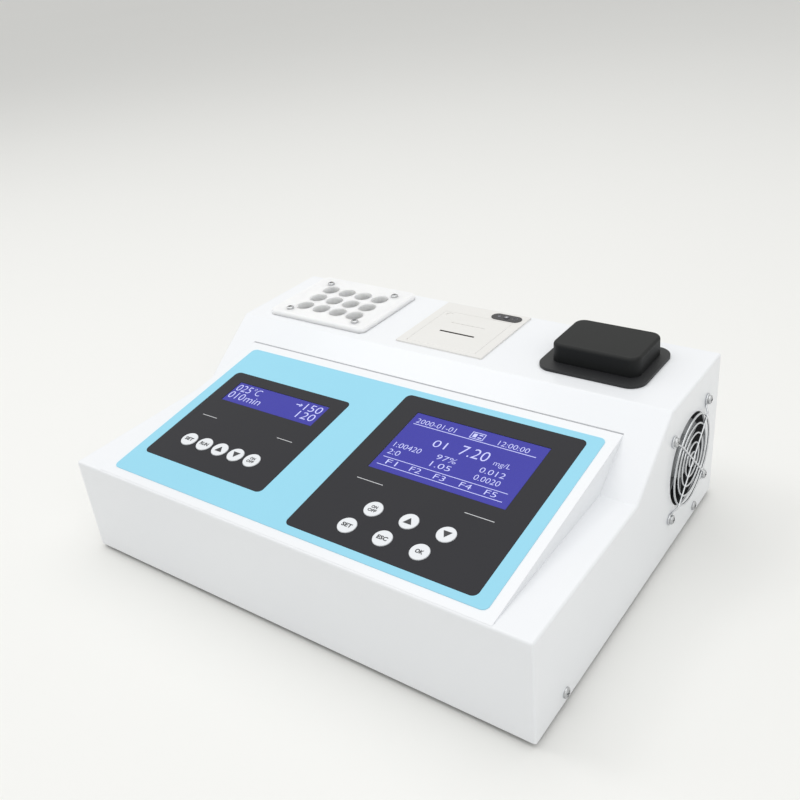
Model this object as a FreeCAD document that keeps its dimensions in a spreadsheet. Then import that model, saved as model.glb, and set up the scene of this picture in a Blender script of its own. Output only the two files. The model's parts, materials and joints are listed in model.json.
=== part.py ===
import FreeCAD, Part
import math
import os
import re

import Sketcher

# A bench water quality analyzer: a sheet metal casing with a raised sloping console, a block
# digester, a panel printer and a photometer under a hinged lid.
# Millimetres. X runs to the right, Y from the front to the rear, Z up from the bench.
# The origin is on the bench, under the middle of the casing.

SIZES = {
    # Casing of bent sheet
    "casing_width": 430,
    "casing_depth": 320,
    "casing_height": 131,
    "deck_height": 86,
    "top_length": 102,
    "slope_run": 62,
    "sheet": 1.5,
    "bend_radius": 2,
    "fit": 0.3,
    "slip": 0.1,
    "overlap": 0.5,
    "past": 1,
    "tray_flange": 16,
    # Feet and casing screws
    "foot_height": 4,
    "foot_radius": 8,
    "foot_inset": 30,
    "foot_stem_radius": 2.8,
    "foot_barb_lip": 0.8,
    "foot_barb_height": 1.5,
    "side_screw_inset": 42,
    "side_screw_height": 8,
    "casing_screw_radius": 1.5,
    "casing_head_radius": 4.1,
    "casing_head_height": 2.2,
    "casing_screw_length": 8,
    "rear_screw_inset": 9,
    # Console: a wedge cover over the deck and the foot of the slope
    "console_margin": 29,
    "console_start": 4,
    "console_climb": 40,
    "console_wall": 2,
    "console_seam": 0.9,
    "opening_inset": 12,
    # Films on the console; their places are measured up the slope from its front edge, on a
    # console of the layout's size, and spread with the console
    "layout_width": 372,
    "layout_length": 198.14,
    "overlay_side": 8.5,
    "overlay_front": 9.5,
    "overlay_rear": 9.6,
    "overlay_thickness": 0.5,
    "film_thickness": 0.6,
    "film_corner": 5,
    "digester_film_side": 19.5,
    "digester_film_centre": 93.8,
    "digester_film_width": 131,
    "digester_film_length": 119,
    "meter_film_side": 20,
    "meter_film_centre": 99,
    "meter_film_width": 162,
    "meter_film_length": 165,
    # Displays, placed from the middle of their films
    "display_recess": 0.25,
    "display_thickness": 8,
    "display_border": 10,
    "digester_display_width": 102,
    "digester_display_length": 26,
    "digester_display_shift": 34.6,
    "meter_display_width": 119,
    "meter_display_length": 70,
    "meter_display_shift": 29.4,
    # Keys, placed from the middle of their films
    "key_radius": 7.4,
    "key_gap": 0.25,
    "key_stand": 0.6,
    "key_flange": 1.3,
    "key_flange_thickness": 0.8,
    "key_travel": 0.4,
    "digester_key_pitch": 17.75,
    "digester_key_x": -2.2,
    "digester_key_shift": -32.6,
    "meter_key_pitch": 31.1,
    "meter_upper_x": 3.5,
    "meter_upper_shift": -43.3,
    "meter_lower_x": -4.6,
    "meter_lower_shift": -64.7,
    "switch_height": 3.5,
    "switch_base": 6,
    "switch_gap": 0.2,
    "dome_radius": 1.7,
    "dome_height": 1,
    "key_board_margin": 12.5,
    "stud_radius": 1.5,
    "stud_inset": 2.5,
    "board_thickness": 1.6,
    # Block digester
    "digester_from_left": 82,
    "digester_from_rear": 51.5,
    "plate_left": 10.5,
    "plate_right": 7.5,
    "plate_front": 2,
    "plate_rear": 7.5,
    "plate_thickness": 5,
    "plate_corner": 7,
    "plate_edge": 2.2,
    "spigot_step": 1.5,
    "spigot_drop": 5,
    "vial_radius": 8.5,
    "vial_pitch": 20,
    "vial_depth": 55,
    "plate_screw_side": 9.3,
    "plate_screw_end": 11.6,
    "plate_screw_radius": 2,
    "plate_head_radius": 3.6,
    "plate_head_height": 2.2,
    "plate_screw_length": 22,
    "block_side": 9.5,
    "block_end": 11.5,
    "block_floor": 10,
    "heater_thickness": 3,
    "jacket_wall": 8,
    "jacket_gap": 0.5,
    "sensor_radius": 2,
    "sensor_depth": 32,
    "sensor_tail": 12,
    "stand_width": 70,
    "stand_front_foot": 12,
    "stand_rear_foot": 6,
    # Photometer with its lid
    "cuvette_from_right": 78,
    "cuvette_from_rear": 49.5,
    "seat_width": 91,
    "seat_length": 72.5,
    "seat_thickness": 2.5,
    "seat_corner": 14,
    "collar_wall": 8,
    "collar_drop": 5,
    "well_margin": 2.5,
    "lid_back": 3.6,
    "lid_width": 75,
    "lid_length": 54,
    "lid_height": 15.8,
    "lid_wall": 3,
    "lid_corner": 9,
    "lid_edge": 2.5,
    "lid_draft": 1,
    "lid_gap": 0.2,
    "lid_hinge_back": 2.9,
    "lid_hinge_rise": 2.8,
    "knuckle_radius": 2.4,
    "knuckle_width": 24,
    "lug_width": 11,
    "lid_pin_radius": 1.2,
    "seal_gap": 2,
    "seal_ring": 4,
    "seal_height": 2.4,
    "holder_width": 60,
    "holder_length": 40,
    "holder_height": 58,
    "cuvette_width": 33,
    "cuvette_length": 13,
    "cuvette_depth": 42,
    "beam_radius": 4,
    "beam_drop": 30,
    "optics_board_width": 34,
    "optics_board_height": 40,
    "lamp_radius": 2.5,
    "lamp_length": 8,
    # Panel printer
    "printer_from_left": 216.5,
    "printer_from_rear": 47,
    "bezel_size": 88,
    "bezel_thickness": 1.5,
    "bezel_corner": 0.8,
    "bezel_edge": 0.4,
    "housing_size": 82,
    "housing_depth": 64,
    "housing_wall": 2,
    "door_width": 70,
    "door_front": -40,
    "door_rear": 26,
    "door_gap": 0.2,
    "door_thickness": 2,
    "slot_width": 35.5,
    "slot_length": 2.2,
    "slot_place": -12,
    "groove_back": 18.3,
    "groove_length": 0.8,
    "groove_depth": 0.5,
    "notch_x": -28,
    "notch_y": 20.5,
    "notch_radius": 3.5,
    "notch_depth": 0.6,
    "door_pin_radius": 0.8,
    "pod_x": 24.5,
    "pod_y": 33.6,
    "pod_width": 30,
    "pod_length": 12,
    "pod_height": 0.6,
    "button_radius": 2.6,
    "button_stand": 0.6,
    "button_gap": 0.2,
    "button_flange": 0.4,
    "button_flange_height": 1,
    "platen_radius": 4,
    "platen_length": 38,
    "platen_shaft_radius": 1.5,
    "platen_drop": 11,
    "shaft_end": 1.7,
    "mechanism_plate": 2,
    "mechanism_length": 15,
    "mechanism_ahead": 1,
    "mechanism_rise": 1,
    "head_gap": 0.4,
    "head_thickness": 2.4,
    "head_height": 14,
    "head_drop": 2,
    "roll_radius": 16,
    "roll_width": 37,
    "roll_bore": 6.2,
    "roll_y": 14,
    "roll_drop": 36,
    "spindle_radius": 5.6,
    # Cooling fan in the right side
    "fan_from_rear": 62.5,
    "fan_height": 67,
    "fan_size": 80,
    "fan_thickness": 25,
    "fan_opening": 38.5,
    "fan_hole_inset": 4.25,
    "fan_hub": 18,
    "fan_tip": 36.5,
    "motor_seat": 3,
    "rotor_gap": 1,
    "rotor_inset": 2,
    "strut_depth": 2.5,
    "strut_width": 4,
    "blade_thickness": 1.6,
    "blade_turn": 38,
    "blade_inset": 2,
    "blade_root": 2,
    "guard_stand": 3,
    "guard_wire": 0.8,
    "guard_weld": 0.64,
    "guard_ring": 37.5,
    "guard_step": 7.8,
    "guard_loop": 3.4,
    "fan_screw_radius": 1.9,
    "fan_head_radius": 3.8,
    "fan_head_height": 2.4,
    "fan_screw_length": 12,
    # Rear fittings
    "rear_fitting_height": 36,
    "inlet_x": -18,
    "inlet_width": 28,
    "inlet_height": 33,
    "inlet_depth": 26,
    "inlet_flange": 2,
    "inlet_ear": 11,
    "inlet_lip": 2,
    "socket_width": 24.6,
    "socket_height": 16.6,
    "socket_depth": 17,
    "pin_width": 2,
    "pin_height": 4,
    "pin_inset": 3,
    "pin_spread": 7,
    "earth_rise": 4,
    "drawer_step": 3,
    "drawer_height": 8,
    "drawer_depth": 20,
    "drawer_lip": 1.2,
    "switch_x": 34,
    "switch_width": 22,
    "switch_length": 28,
    "switch_rim": 1.6,
    "switch_depth": 24,
    "switch_well": 14,
    "rocker_width": 17,
    "rocker_length": 22,
    "rocker_gap": 0.4,
    "rocker_sweep": 1.7,
    "rocker_tip": 8,
    "rocker_waist": 6,
    "rocker_keel": 3,
    "rocker_tilt": 10,
    "pivot_radius": 1.5,
    "pivot_reach": 2,
    "pivot_depth": 5,
    "port_x": 140,
    "port_width": 12,
    "port_height": 11,
    "port_depth": 17,
    "port_stand": 1,
    "port_mouth": 9,
    "port_wall": 1.4,
    "vent_width": 3,
    "vent_height": 36,
    "vent_pitch": 8,
    # Electronics on the tray; the board and the supply share its width
    "tray_layout": 354.4,
    "board_width": 170,
    "board_length": 104,
    "barb_gap": 5,
    "board_from_front": 70,
    "board_post": 8,
    "board_post_radius": 3,
    "board_post_inset": 6,
    "supply_from_front": 68,
    "supply_width": 159,
    "supply_length": 98,
    "supply_height": 38,
    "supply_cheek": 2,
    "supply_shelf": 16,
    "supply_step": 15,
    "terminal_inset": 2,
    "terminal_width": 12,
    "terminal_height": 11.5,
    "terminal_end": 8,
    "relay_from_left": 82,
    "relay_from_rear": 140,
    "relay_width": 60,
    "relay_length": 45,
    "relay_height": 23,
    "relay_step": 10,
    "relay_cheek": 8,
    "relay_shelf": 9,
}

# Larger parts on the main board: X and Y from its middle, width, length and height
BOARD_PARTS = {
    "choke": (-62, 30, 24, 20, 16),
    "capacitors": (-62, -18, 20, 36, 12),
    "processor": (-20, 8, 22, 22, 3),
    "memory": (20, -12, 14, 30, 4),
    "connector": (52, 24, 30, 9, 9),
    "battery": (60, -28, 16, 16, 10),
    "header": (0, -42, 60, 8, 9),
}
for part, part_sizes in BOARD_PARTS.items():
    for what, size in zip(("x", "y", "width", "length", "height"), part_sizes):
        SIZES[f"{part}_{what}"] = size

VIAL_COLUMNS = 4
VIAL_ROWS = 3
DIGESTER_KEYS = 5
METER_KEYS_IN_ROW = 3
GUARD_RINGS = 5
FAN_BLADES = 7
VENT_SLOTS = 12

doc = FreeCAD.newDocument("WaterQualityAnalyzer")
sheet = doc.addObject("Spreadsheet::Sheet", "Sizes")
for row, (alias, value) in enumerate(SIZES.items(), start=1):
    sheet.set(f"A{row}", alias)
    sheet.set(f"B{row}", str(value))
    sheet.setAlias(f"B{row}", alias)
doc.recompute()

# Places that several pieces share, as expressions of the sheet's aliases
FRONT = "(-casing_depth/2)"
REAR = "(casing_depth/2)"
SIDE = "(casing_width/2)"
BOTTOM = "foot_height"
DECK = "(foot_height + deck_height)"
TOP = "(foot_height + casing_height)"
FLOOR = "(foot_height + sheet)"
SLOPE_START = "(casing_depth - top_length - slope_run)"
SLOPE_END = "(casing_depth - top_length)"
SLOPE_RATIO = "((casing_height - deck_height)/slope_run)"
BEND_SHIFT = f"(sheet*tan(atan({SLOPE_RATIO})/2))"
CONSOLE_REAR = f"({SLOPE_START} + console_climb)"
CONSOLE_RISE = f"({SLOPE_RATIO}*console_climb)"
CONSOLE_TILT = f"atan({CONSOLE_RISE}/{CONSOLE_REAR})"
CONSOLE_HALF = "(casing_width/2 - console_margin)"
SLOPE_LENGTH = f"({CONSOLE_REAR}/cos({CONSOLE_TILT}))"
SPREAD = f"(2*{CONSOLE_HALF}/layout_width)"
STRETCH = f"({SLOPE_LENGTH}/layout_length)"
OVERLAY_WIDTH = f"(2*{CONSOLE_HALF} - 2*overlay_side)"
OVERLAY_LENGTH = f"({SLOPE_LENGTH} - overlay_front - overlay_rear)"
DIGESTER_FILM_X = f"({SPREAD}*(digester_film_side + digester_film_width/2) - {CONSOLE_HALF})"
METER_FILM_X = f"({CONSOLE_HALF} - {SPREAD}*(meter_film_side + meter_film_width/2))"
DIGESTER_KEY_Y = f"({STRETCH}*(digester_film_centre + digester_key_shift))"
KEY_BOARD_DROP = "(key_flange_thickness + fit/2 + key_travel + switch_gap + switch_height)"
DIGESTER_X = "(digester_from_left - casing_width/2)"
DIGESTER_Y = "(casing_depth/2 - digester_from_rear)"
BLOCK_TOP = f"({TOP} - spigot_drop)"
BLOCK_WIDTH = f"({VIAL_COLUMNS - 1}*vial_pitch + 2*vial_radius + 2*block_side)"
BLOCK_LENGTH = f"({VIAL_ROWS - 1}*vial_pitch + 2*vial_radius + 2*block_end)"
BLOCK_HEIGHT = "(vial_depth + block_floor)"
SPIGOT_WIDTH = f"({BLOCK_WIDTH} - 2*spigot_step)"
SPIGOT_LENGTH = f"({BLOCK_LENGTH} - 2*spigot_step)"
SENSOR_X = f"({DIGESTER_X} + {BLOCK_WIDTH}/2 - sensor_depth)"
SENSOR_Z = f"({BLOCK_TOP} - vial_depth - block_floor/2)"
JACKET_LOW = f"({BLOCK_TOP} - {BLOCK_HEIGHT} - heater_thickness - jacket_wall)"
CUVETTE_X = "(casing_width/2 - cuvette_from_right)"
CUVETTE_Y = "(casing_depth/2 - cuvette_from_rear)"
SEAT_TOP = f"({TOP} + seat_thickness)"
LID_Y = f"({CUVETTE_Y} + lid_back)"
LID_AXIS_Y = f"({LID_Y} + lid_length/2 + lid_hinge_back)"
LID_AXIS_Z = f"({SEAT_TOP} + lid_hinge_rise)"
HOLDER_TOP = f"({TOP} - collar_drop)"
WELL_WIDTH = "(cuvette_width + 2*well_margin)"
WELL_LENGTH = "(cuvette_length + 2*well_margin)"
COLLAR_WIDTH = f"({WELL_WIDTH} + 2*collar_wall)"
COLLAR_LENGTH = f"({WELL_LENGTH} + 2*collar_wall)"
SEAL_WIDTH = "(lid_width - 2*lid_wall - 2*seal_gap)"
SEAL_LENGTH = "(lid_length - 2*lid_wall - 2*seal_gap)"
BEAM_Z = f"({HOLDER_TOP} - beam_drop)"
PRINTER_X = "(printer_from_left - casing_width/2)"
PRINTER_Y = "(casing_depth/2 - printer_from_rear)"
FACE = f"({TOP} + bezel_thickness)"
BUTTON = (f"({PRINTER_X} + pod_x)", f"({PRINTER_Y} + pod_y)")
DOOR_AXIS_Y = f"({PRINTER_Y} + door_front + door_gap + door_thickness)"
DOOR_AXIS_Z = f"({FACE} - door_thickness)"
PLATEN_Y = f"({PRINTER_Y} + slot_place - platen_radius)"
PLATEN_Z = f"({FACE} - platen_drop)"
ROLL_Y = f"({PRINTER_Y} + roll_y)"
ROLL_Z = f"({FACE} - roll_drop)"
FAN_Y = "(casing_depth/2 - fan_from_rear)"
FAN_Z = "(foot_height + fan_height)"
FAN_PITCH = "(fan_size - 2*fan_hole_inset)"
FAN_OUT = "(casing_width/2 - sheet)"
ROTOR_X = f"({FAN_OUT} - fan_thickness + motor_seat + rotor_gap)"
ROTOR_DEPTH = "(fan_thickness - motor_seat - rotor_gap - rotor_inset)"
REAR_Z = "(foot_height + rear_fitting_height)"
SOCKET_LOW = f"({REAR_Z} - inlet_height/2 + inlet_lip)"
DRAWER_LOW = f"({SOCKET_LOW} + socket_height + drawer_step)"
ROCKER_Y = f"({REAR} - pivot_depth)"
BARB_EDGE = "(casing_width/2 - foot_inset - foot_stem_radius - barb_gap)"
TRAY_SPREAD = f"(2*{BARB_EDGE}/tray_layout)"
BOARD_WIDTH = f"({TRAY_SPREAD}*board_width)"
BOARD_X = f"({BARB_EDGE} - {BOARD_WIDTH}/2)"
BOARD_Y = f"({FRONT} + board_from_front)"
SUPPLY_WIDTH = f"({TRAY_SPREAD}*supply_width)"
SUPPLY_X = f"({SUPPLY_WIDTH}/2 - {BARB_EDGE})"
SUPPLY_Y = f"({FRONT} + supply_from_front)"
RELAY_X = "(relay_from_left - casing_width/2)"
RELAY_Y = f"({REAR} - relay_from_rear)"

NODES = {}


def bind(thing, path, text):
    """Tie a property to an expression written with the sheet's aliases."""
    def named(word):
        return f"Sizes.{word[0]}" if word[0] in SIZES else word[0]

    thing.setExpression(path, re.sub(r"\b[a-z][a-z_]*\b", named, str(text)))


def place(thing, at=("0", "0", "0"), axis=None, turn=None):
    """Put a thing at a point, turned about an axis, both bound to the sheet."""
    if axis:
        start = FreeCAD.Rotation(FreeCAD.Vector(*axis), 1)
        thing.Placement = FreeCAD.Placement(FreeCAD.Vector(), start)
        bind(thing, "Placement.Rotation.Angle", turn)
    for letter, text in zip("xyz", at):
        bind(thing, f"Placement.Base.{letter}", text)
    return thing


def on_console(thing):
    """Lay a piece modelled flat on the console: X across, Y up the slope, Z out of it."""
    return place(thing, ("0", FRONT, DECK), (1, 0, 0), CONSOLE_TILT)


def box(name, low, size):
    """A plain block from its low corner."""
    made = doc.addObject("Part::Box", name)
    for prop, text in zip(("Length", "Width", "Height"), size):
        bind(made, prop, text)
    return place(made, low)


def centred_box(name, middle, size, low_z):
    """A plain block centred on X and Y, from a low Z up."""
    corner = [f"{at} - ({span})/2" for at, span in zip(middle, size)]
    return box(name, (*corner, low_z), size)


AXES = {"x": ((0, 1, 0), "90"), "y": ((1, 0, 0), "-90"), "z": (None, None)}


def rod(name, at, radius, length, axis="z"):
    """A cylinder from its end point along an axis."""
    made = doc.addObject("Part::Cylinder", name)
    bind(made, "Radius", radius)
    bind(made, "Height", length)
    return place(made, at, *AXES[axis])


def join(name, pieces):
    """Fuse pieces into one solid."""
    made = doc.addObject("Part::MultiFuse", name)
    made.Shapes = pieces
    return made


def group(name, pieces):
    """Keep like pieces together as separate solids."""
    made = doc.addObject("Part::Compound", name)
    made.Links = pieces
    return made


def cut(name, base, tools):
    """Take the tools out of the base."""
    made = doc.addObject("Part::Cut", name)
    made.Base = base
    made.Tool = tools[0] if len(tools) == 1 else join(f"{name}_tools", tools)
    return made


def node(name, thing):
    """Name a finished sub-part and keep it for export."""
    thing.Label = name
    NODES[name] = thing
    return thing


def origin_plane(body, role):
    """Find a plane of the body's own origin."""
    return next(item for item in body.Origin.OriginFeatures if item.Role == role)


def outline(body, role, points):
    """Sketch a closed outline of straight lines with every corner bound to the sheet."""
    sketch = body.newObject("Sketcher::SketchObject", f"{body.Name}_outline")
    sketch.AttachmentSupport = (origin_plane(body, role), [""])
    sketch.MapMode = "FlatFace"
    count = len(points)
    draft = [
        FreeCAD.Vector(math.cos(2*math.pi*place_no/count), math.sin(2*math.pi*place_no/count), 0)
        for place_no in range(count)
    ]
    for corner in range(count):
        sketch.addGeometry(Part.LineSegment(draft[corner], draft[(corner + 1) % count]), False)
    for corner in range(count):
        sketch.addConstraint(Sketcher.Constraint("Coincident", corner, 2, (corner + 1) % count, 1))
    for corner, pair in enumerate(points):
        for kind, text in zip(("DistanceX", "DistanceY"), pair):
            index = sketch.addConstraint(Sketcher.Constraint(kind, corner, 1, 1.0))
            bind(sketch, f"Constraints[{index}]", text)
    return sketch


def extrusion(name, role, points, length, both_ways=False):
    """A body padded from an outline."""
    body = doc.addObject("PartDesign::Body", name)
    sketch = outline(body, role, points)
    pad = body.newObject("PartDesign::Pad", f"{name}_pad")
    pad.Profile = sketch
    pad.Midplane = both_ways
    bind(pad, "Length", length)
    doc.recompute()
    return body


def soften(body, radius, wanted):
    """Round those edges of a body that pass the test."""
    doc.recompute()
    base = body.Tip
    names = [f"Edge{number}" for number, edge in enumerate(base.Shape.Edges, start=1) if wanted(edge)]
    fillet = body.newObject("PartDesign::Fillet", f"{body.Name}_round")
    fillet.Base = (base, names)
    bind(fillet, "Radius", radius)
    doc.recompute()
    return body


def rises(edge):
    """An edge whose ends are at different heights."""
    return abs(edge.Vertexes[0].Z - edge.Vertexes[-1].Z) > 1e-4


def along_the_top(shape):
    """A test for edges that lie flat at the top of a shape."""
    level = max(corner.Z for corner in shape.Vertexes)
    return lambda edge: all(abs(corner.Z - level) < 1e-6 for corner in edge.Vertexes)


def slab(name, middle, size, low_z, corner=None, edge=None, draft=None):
    """A flat block with rounded corners, a rounded top edge and drafted sides."""
    half = [f"({span})/2" for span in size[:2]]
    points = [
        (f"-{half[0]}", f"-{half[1]}"),
        (half[0], f"-{half[1]}"),
        (half[0], half[1]),
        (f"-{half[0]}", half[1]),
    ]
    body = extrusion(name, "XY_Plane", points, size[2])
    if draft:
        bind(body.Tip, "TaperAngle", f"-{draft}")
    if corner:
        soften(body, corner, rises)
    if edge:
        soften(body, edge, along_the_top(body.Shape))
    return place(body, (*middle, low_z))


def base_tray():
    """The floor of the casing with four low flanges and the posts for the main board."""
    half = "(casing_width/2 - sheet - fit)"
    front = f"({FRONT} + sheet + fit)"
    length = f"({REAR} - sheet - {front})"
    outer = box("tray_outer", (f"-{half}", front, BOTTOM), (f"2*{half}", length, "tray_flange"))
    inner = box(
        "tray_inner",
        (f"-{half} + sheet", f"{front} + sheet", FLOOR),
        (f"2*{half} - 2*sheet", f"{length} - 2*sheet", "tray_flange"),
    )
    holes = [inner]
    for x, y in foot_places():
        holes.append(rod("foot_hole", (x, y, BOTTOM), "foot_stem_radius + slip", "sheet"))
    for sign in "-+":
        for y in (f"{FRONT} + side_screw_inset", f"{REAR} - side_screw_inset"):
            start = "(-casing_width/2)" if sign == "-" else f"({SIDE} - 2*tray_flange)"
            height = f"{BOTTOM} + side_screw_height"
            at = (start, y, height)
            holes.append(rod("side_hole", at, "casing_screw_radius", "2*tray_flange", "x"))
        at = (f"{sign}({SIDE} - rear_screw_inset)", f"{REAR} - tray_flange", f"{BOTTOM} + rear_screw_inset")
        holes.append(rod("rear_hole", at, "casing_screw_radius", "tray_flange", "y"))
    shell = cut("tray_shell", outer, holes)
    posts = [
        rod("board_post", (x, y, FLOOR), "board_post_radius", "board_post") for x, y in board_corners()
    ]
    return node("base_tray", join("base_tray", [shell, *posts]))


def foot_places():
    """Where the four feet stand."""
    return [
        (f"{side}(casing_width/2 - foot_inset)", f"{end}(casing_depth/2 - foot_inset)")
        for side in "-+" for end in "-+"
    ]


def board_corners():
    """Where the main board's posts stand."""
    return [
        (f"{BOARD_X} {side} ({BOARD_WIDTH}/2 - board_post_inset)",
         f"{BOARD_Y} {end} (board_length/2 - board_post_inset)")
        for side in "-+" for end in "-+"
    ]


def hood():
    """The bent outer shell: front, deck, steep slope, top and both sides."""
    points = [
        (FRONT, BOTTOM),
        (FRONT, DECK),
        (f"{FRONT} + {SLOPE_START}", DECK),
        (f"{FRONT} + {SLOPE_END}", TOP),
        (REAR, TOP),
        (REAR, BOTTOM),
    ]
    outer = extrusion("hood_outer", "YZ_Plane", points, "casing_width", True)
    bounds = outer.Shape.BoundBox
    kink = SIZES["casing_depth"]/2 - SIZES["top_length"] - SIZES["slope_run"]

    def bent(edge):
        span = edge.BoundBox
        at_rear = span.YMin > bounds.YMax - 1e-6
        at_bottom = span.ZMax < bounds.ZMin + 1e-6
        at_kink = abs(span.YMin - kink) < 1e-6 and abs(span.YMax - kink) < 1e-6
        return not (at_rear or at_bottom or at_kink)

    soften(outer, "bend_radius", bent)
    inside = [
        (f"{FRONT} + sheet", "0"),
        (f"{FRONT} + sheet", f"{DECK} - sheet"),
        (f"{FRONT} + {SLOPE_START} + {BEND_SHIFT}", f"{DECK} - sheet"),
        (f"{FRONT} + {SLOPE_END} + {BEND_SHIFT}", f"{TOP} - sheet"),
        (f"{REAR} + sheet", f"{TOP} - sheet"),
        (f"{REAR} + sheet", "0"),
    ]
    hollow = extrusion("hood_hollow", "YZ_Plane", inside, "casing_width - 2*sheet", True)
    opening_half = f"({CONSOLE_HALF} - opening_inset)"
    console_opening = box(
        "console_opening",
        (f"-{opening_half}", f"{FRONT} + opening_inset + console_start", f"{DECK} - opening_inset"),
        (f"2*{opening_half}", f"{CONSOLE_REAR} - 2*opening_inset - console_start", "casing_height"),
    )
    seam = box(
        "console_seam_slot",
        (f"-{CONSOLE_HALF}", f"{FRONT} + {CONSOLE_REAR}", DECK),
        (f"2*{CONSOLE_HALF}", "console_seam", f"{CONSOLE_RISE} + 2*sheet"),
    )
    relief = rod(
        "bend_relief", (f"-{CONSOLE_HALF}", f"{FRONT} + {CONSOLE_REAR}", DECK), "console_seam",
        f"{CONSOLE_RISE} + 2*sheet",
    )
    fitted = (
        ("digester_opening", (DIGESTER_X, DIGESTER_Y), SPIGOT_WIDTH, SPIGOT_LENGTH),
        ("cuvette_opening", (CUVETTE_X, CUVETTE_Y), COLLAR_WIDTH, COLLAR_LENGTH),
        ("printer_opening", (PRINTER_X, PRINTER_Y), "housing_size", "housing_size"),
    )
    top_openings = [
        centred_box(name, middle, (f"{width} + 2*fit", f"{length} + 2*fit", "4*sheet"), f"{TOP} - 2*sheet")
        for name, middle, width, length in fitted
    ]
    wall_start = f"({SIDE} - 2*sheet)"
    fan_hole = rod("fan_hole", (wall_start, FAN_Y, FAN_Z), "fan_opening", "4*sheet", "x")
    tools = [hollow, console_opening, seam, relief, *top_openings, fan_hole]
    for y, z in fan_corners():
        tools.append(rod("fan_screw_hole", (wall_start, y, z), "fan_screw_radius + 2*slip", "4*sheet", "x"))
    for y in (f"{FRONT} + side_screw_inset", f"{REAR} - side_screw_inset"):
        at = ("(-casing_width/2 - sheet)", y, f"{BOTTOM} + side_screw_height")
        tools.append(
            rod("side_screw_hole", at, "casing_screw_radius + 2*slip", "casing_width + 2*sheet", "x")
        )
    shell = cut("hood_shell", outer, tools)
    tabs = []
    for sign in "-+":
        size = ("2*rear_screw_inset", "sheet", "2*rear_screw_inset")
        middle = (f"{sign}({SIDE} - sheet - rear_screw_inset)", f"({REAR} - 1.5*sheet)")
        tab = centred_box("hood_tab", middle, size, f"{TOP} - sheet - 2*rear_screw_inset")
        at = (f"{sign}({SIDE} - rear_screw_inset)", f"{REAR} - 3*sheet", f"{TOP} - rear_screw_inset - sheet")
        hole = rod("tab_hole", at, "casing_screw_radius", "4*sheet", "y")
        tabs.append(cut("hood_tab_drilled", tab, [hole]))
    return node("hood", join("hood", [shell, *tabs]))


def rear_panel():
    """The plate that closes the rear, with the cut-outs for its fittings and the vent slots."""
    half = "(casing_width/2 - sheet - fit)"
    plate = box(
        "rear_plate", (f"-{half}", f"{REAR} - sheet", BOTTOM),
        (f"2*{half}", "sheet", "casing_height - sheet - fit"),
    )
    start = f"{REAR} - 2*sheet"
    through = "3*sheet"
    tools = []
    fittings = (
        ("inlet_x", "inlet_width", "inlet_height"),
        ("switch_x", "switch_width", "switch_length"),
        ("port_x", "port_width", "port_height"),
    )
    for x, width, height in fittings:
        low = (f"{x} - {width}/2 - fit", start, f"{REAR_Z} - {height}/2 - fit")
        tools.append(box("fitting_hole", low, (f"{width} + 2*fit", through, f"{height} + 2*fit")))
    for number in range(VENT_SLOTS):
        x = f"{DIGESTER_X} + ({number} - {(VENT_SLOTS - 1)/2})*vent_pitch - vent_width/2"
        low = (x, start, f"{REAR_Z} - vent_height/2")
        tools.append(box("vent_slot", low, ("vent_width", through, "vent_height")))
    for x, z in rear_screw_places():
        tools.append(rod("rear_screw_hole", (x, start, z), "casing_screw_radius + 2*slip", through, "y"))
    return node("rear_panel", cut("rear_panel", plate, tools))


def rear_screw_places():
    """The four screws of the rear panel: two into the tray, two into the hood's tabs."""
    return [
        (f"{sign}({SIDE} - rear_screw_inset)", z)
        for sign in "-+"
        for z in (f"{BOTTOM} + rear_screw_inset", f"{TOP} - rear_screw_inset - sheet")
    ]


def screw(name, at, radius, length, head_radius, head_height, axis, outward):
    """A pan head screw whose head stands outward from a point on the surface."""
    x_y_z = "xyz".index(axis)

    def along(amount):
        moved = list(at)
        moved[x_y_z] = f"({at[x_y_z]} + ({amount}))"
        return tuple(moved)

    shank_start = along(f"-({length})") if outward > 0 else at
    head_start = at if outward > 0 else along(f"-({head_height})")
    shank = rod(f"{name}_shank", shank_start, radius, length, axis)
    head = rod(f"{name}_head", head_start, head_radius, head_height, axis)
    return join(name, [shank, head])


def casing_screws():
    """Four screws through the sides into the tray and four through the rear panel."""
    size = ("casing_screw_radius", "casing_screw_length", "casing_head_radius", "casing_head_height")
    screws = []
    for sign, outward in (("-", -1), ("+", 1)):
        for y in (f"({FRONT} + side_screw_inset)", f"({REAR} - side_screw_inset)"):
            at = (f"({sign}{SIDE})", y, f"({BOTTOM} + side_screw_height)")
            screws.append(screw("side_screw", at, *size, "x", outward))
    for x, z in rear_screw_places():
        screws.append(screw("rear_screw", (x, REAR, z), *size, "y", 1))
    return node("casing_screws", group("casing_screws", screws))


def rubber_feet():
    """Four feet pushed up through the tray, each held by a barb above the floor."""
    feet = []
    for x, y in foot_places():
        pad = rod("foot_pad", (x, y, "0"), "foot_radius", "foot_height")
        stem = rod("foot_stem", (x, y, BOTTOM), "foot_stem_radius", "sheet + fit")
        lip = "foot_stem_radius + foot_barb_lip"
        barb = rod("foot_barb", (x, y, f"{FLOOR} + fit"), lip, "foot_barb_height")
        feet.append(join("foot", [pad, stem, barb]))
    return node("rubber_feet", group("rubber_feet", feet))


def film_places():
    """Middle, width and length of the two keypad films on the console."""
    return {
        side: (
            x, f"({STRETCH}*{side}_film_centre)",
            f"({SPREAD}*{side}_film_width)", f"({STRETCH}*{side}_film_length)",
        )
        for side, x in (("digester", DIGESTER_FILM_X), ("meter", METER_FILM_X))
    }


def display_places():
    """Middle, width and length of the two display windows on the console."""
    return {
        side: (
            x, f"({STRETCH}*({side}_film_centre + {side}_display_shift))",
            f"{side}_display_width", f"{side}_display_length",
        )
        for side, x in (("digester", DIGESTER_FILM_X), ("meter", METER_FILM_X))
    }


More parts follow.
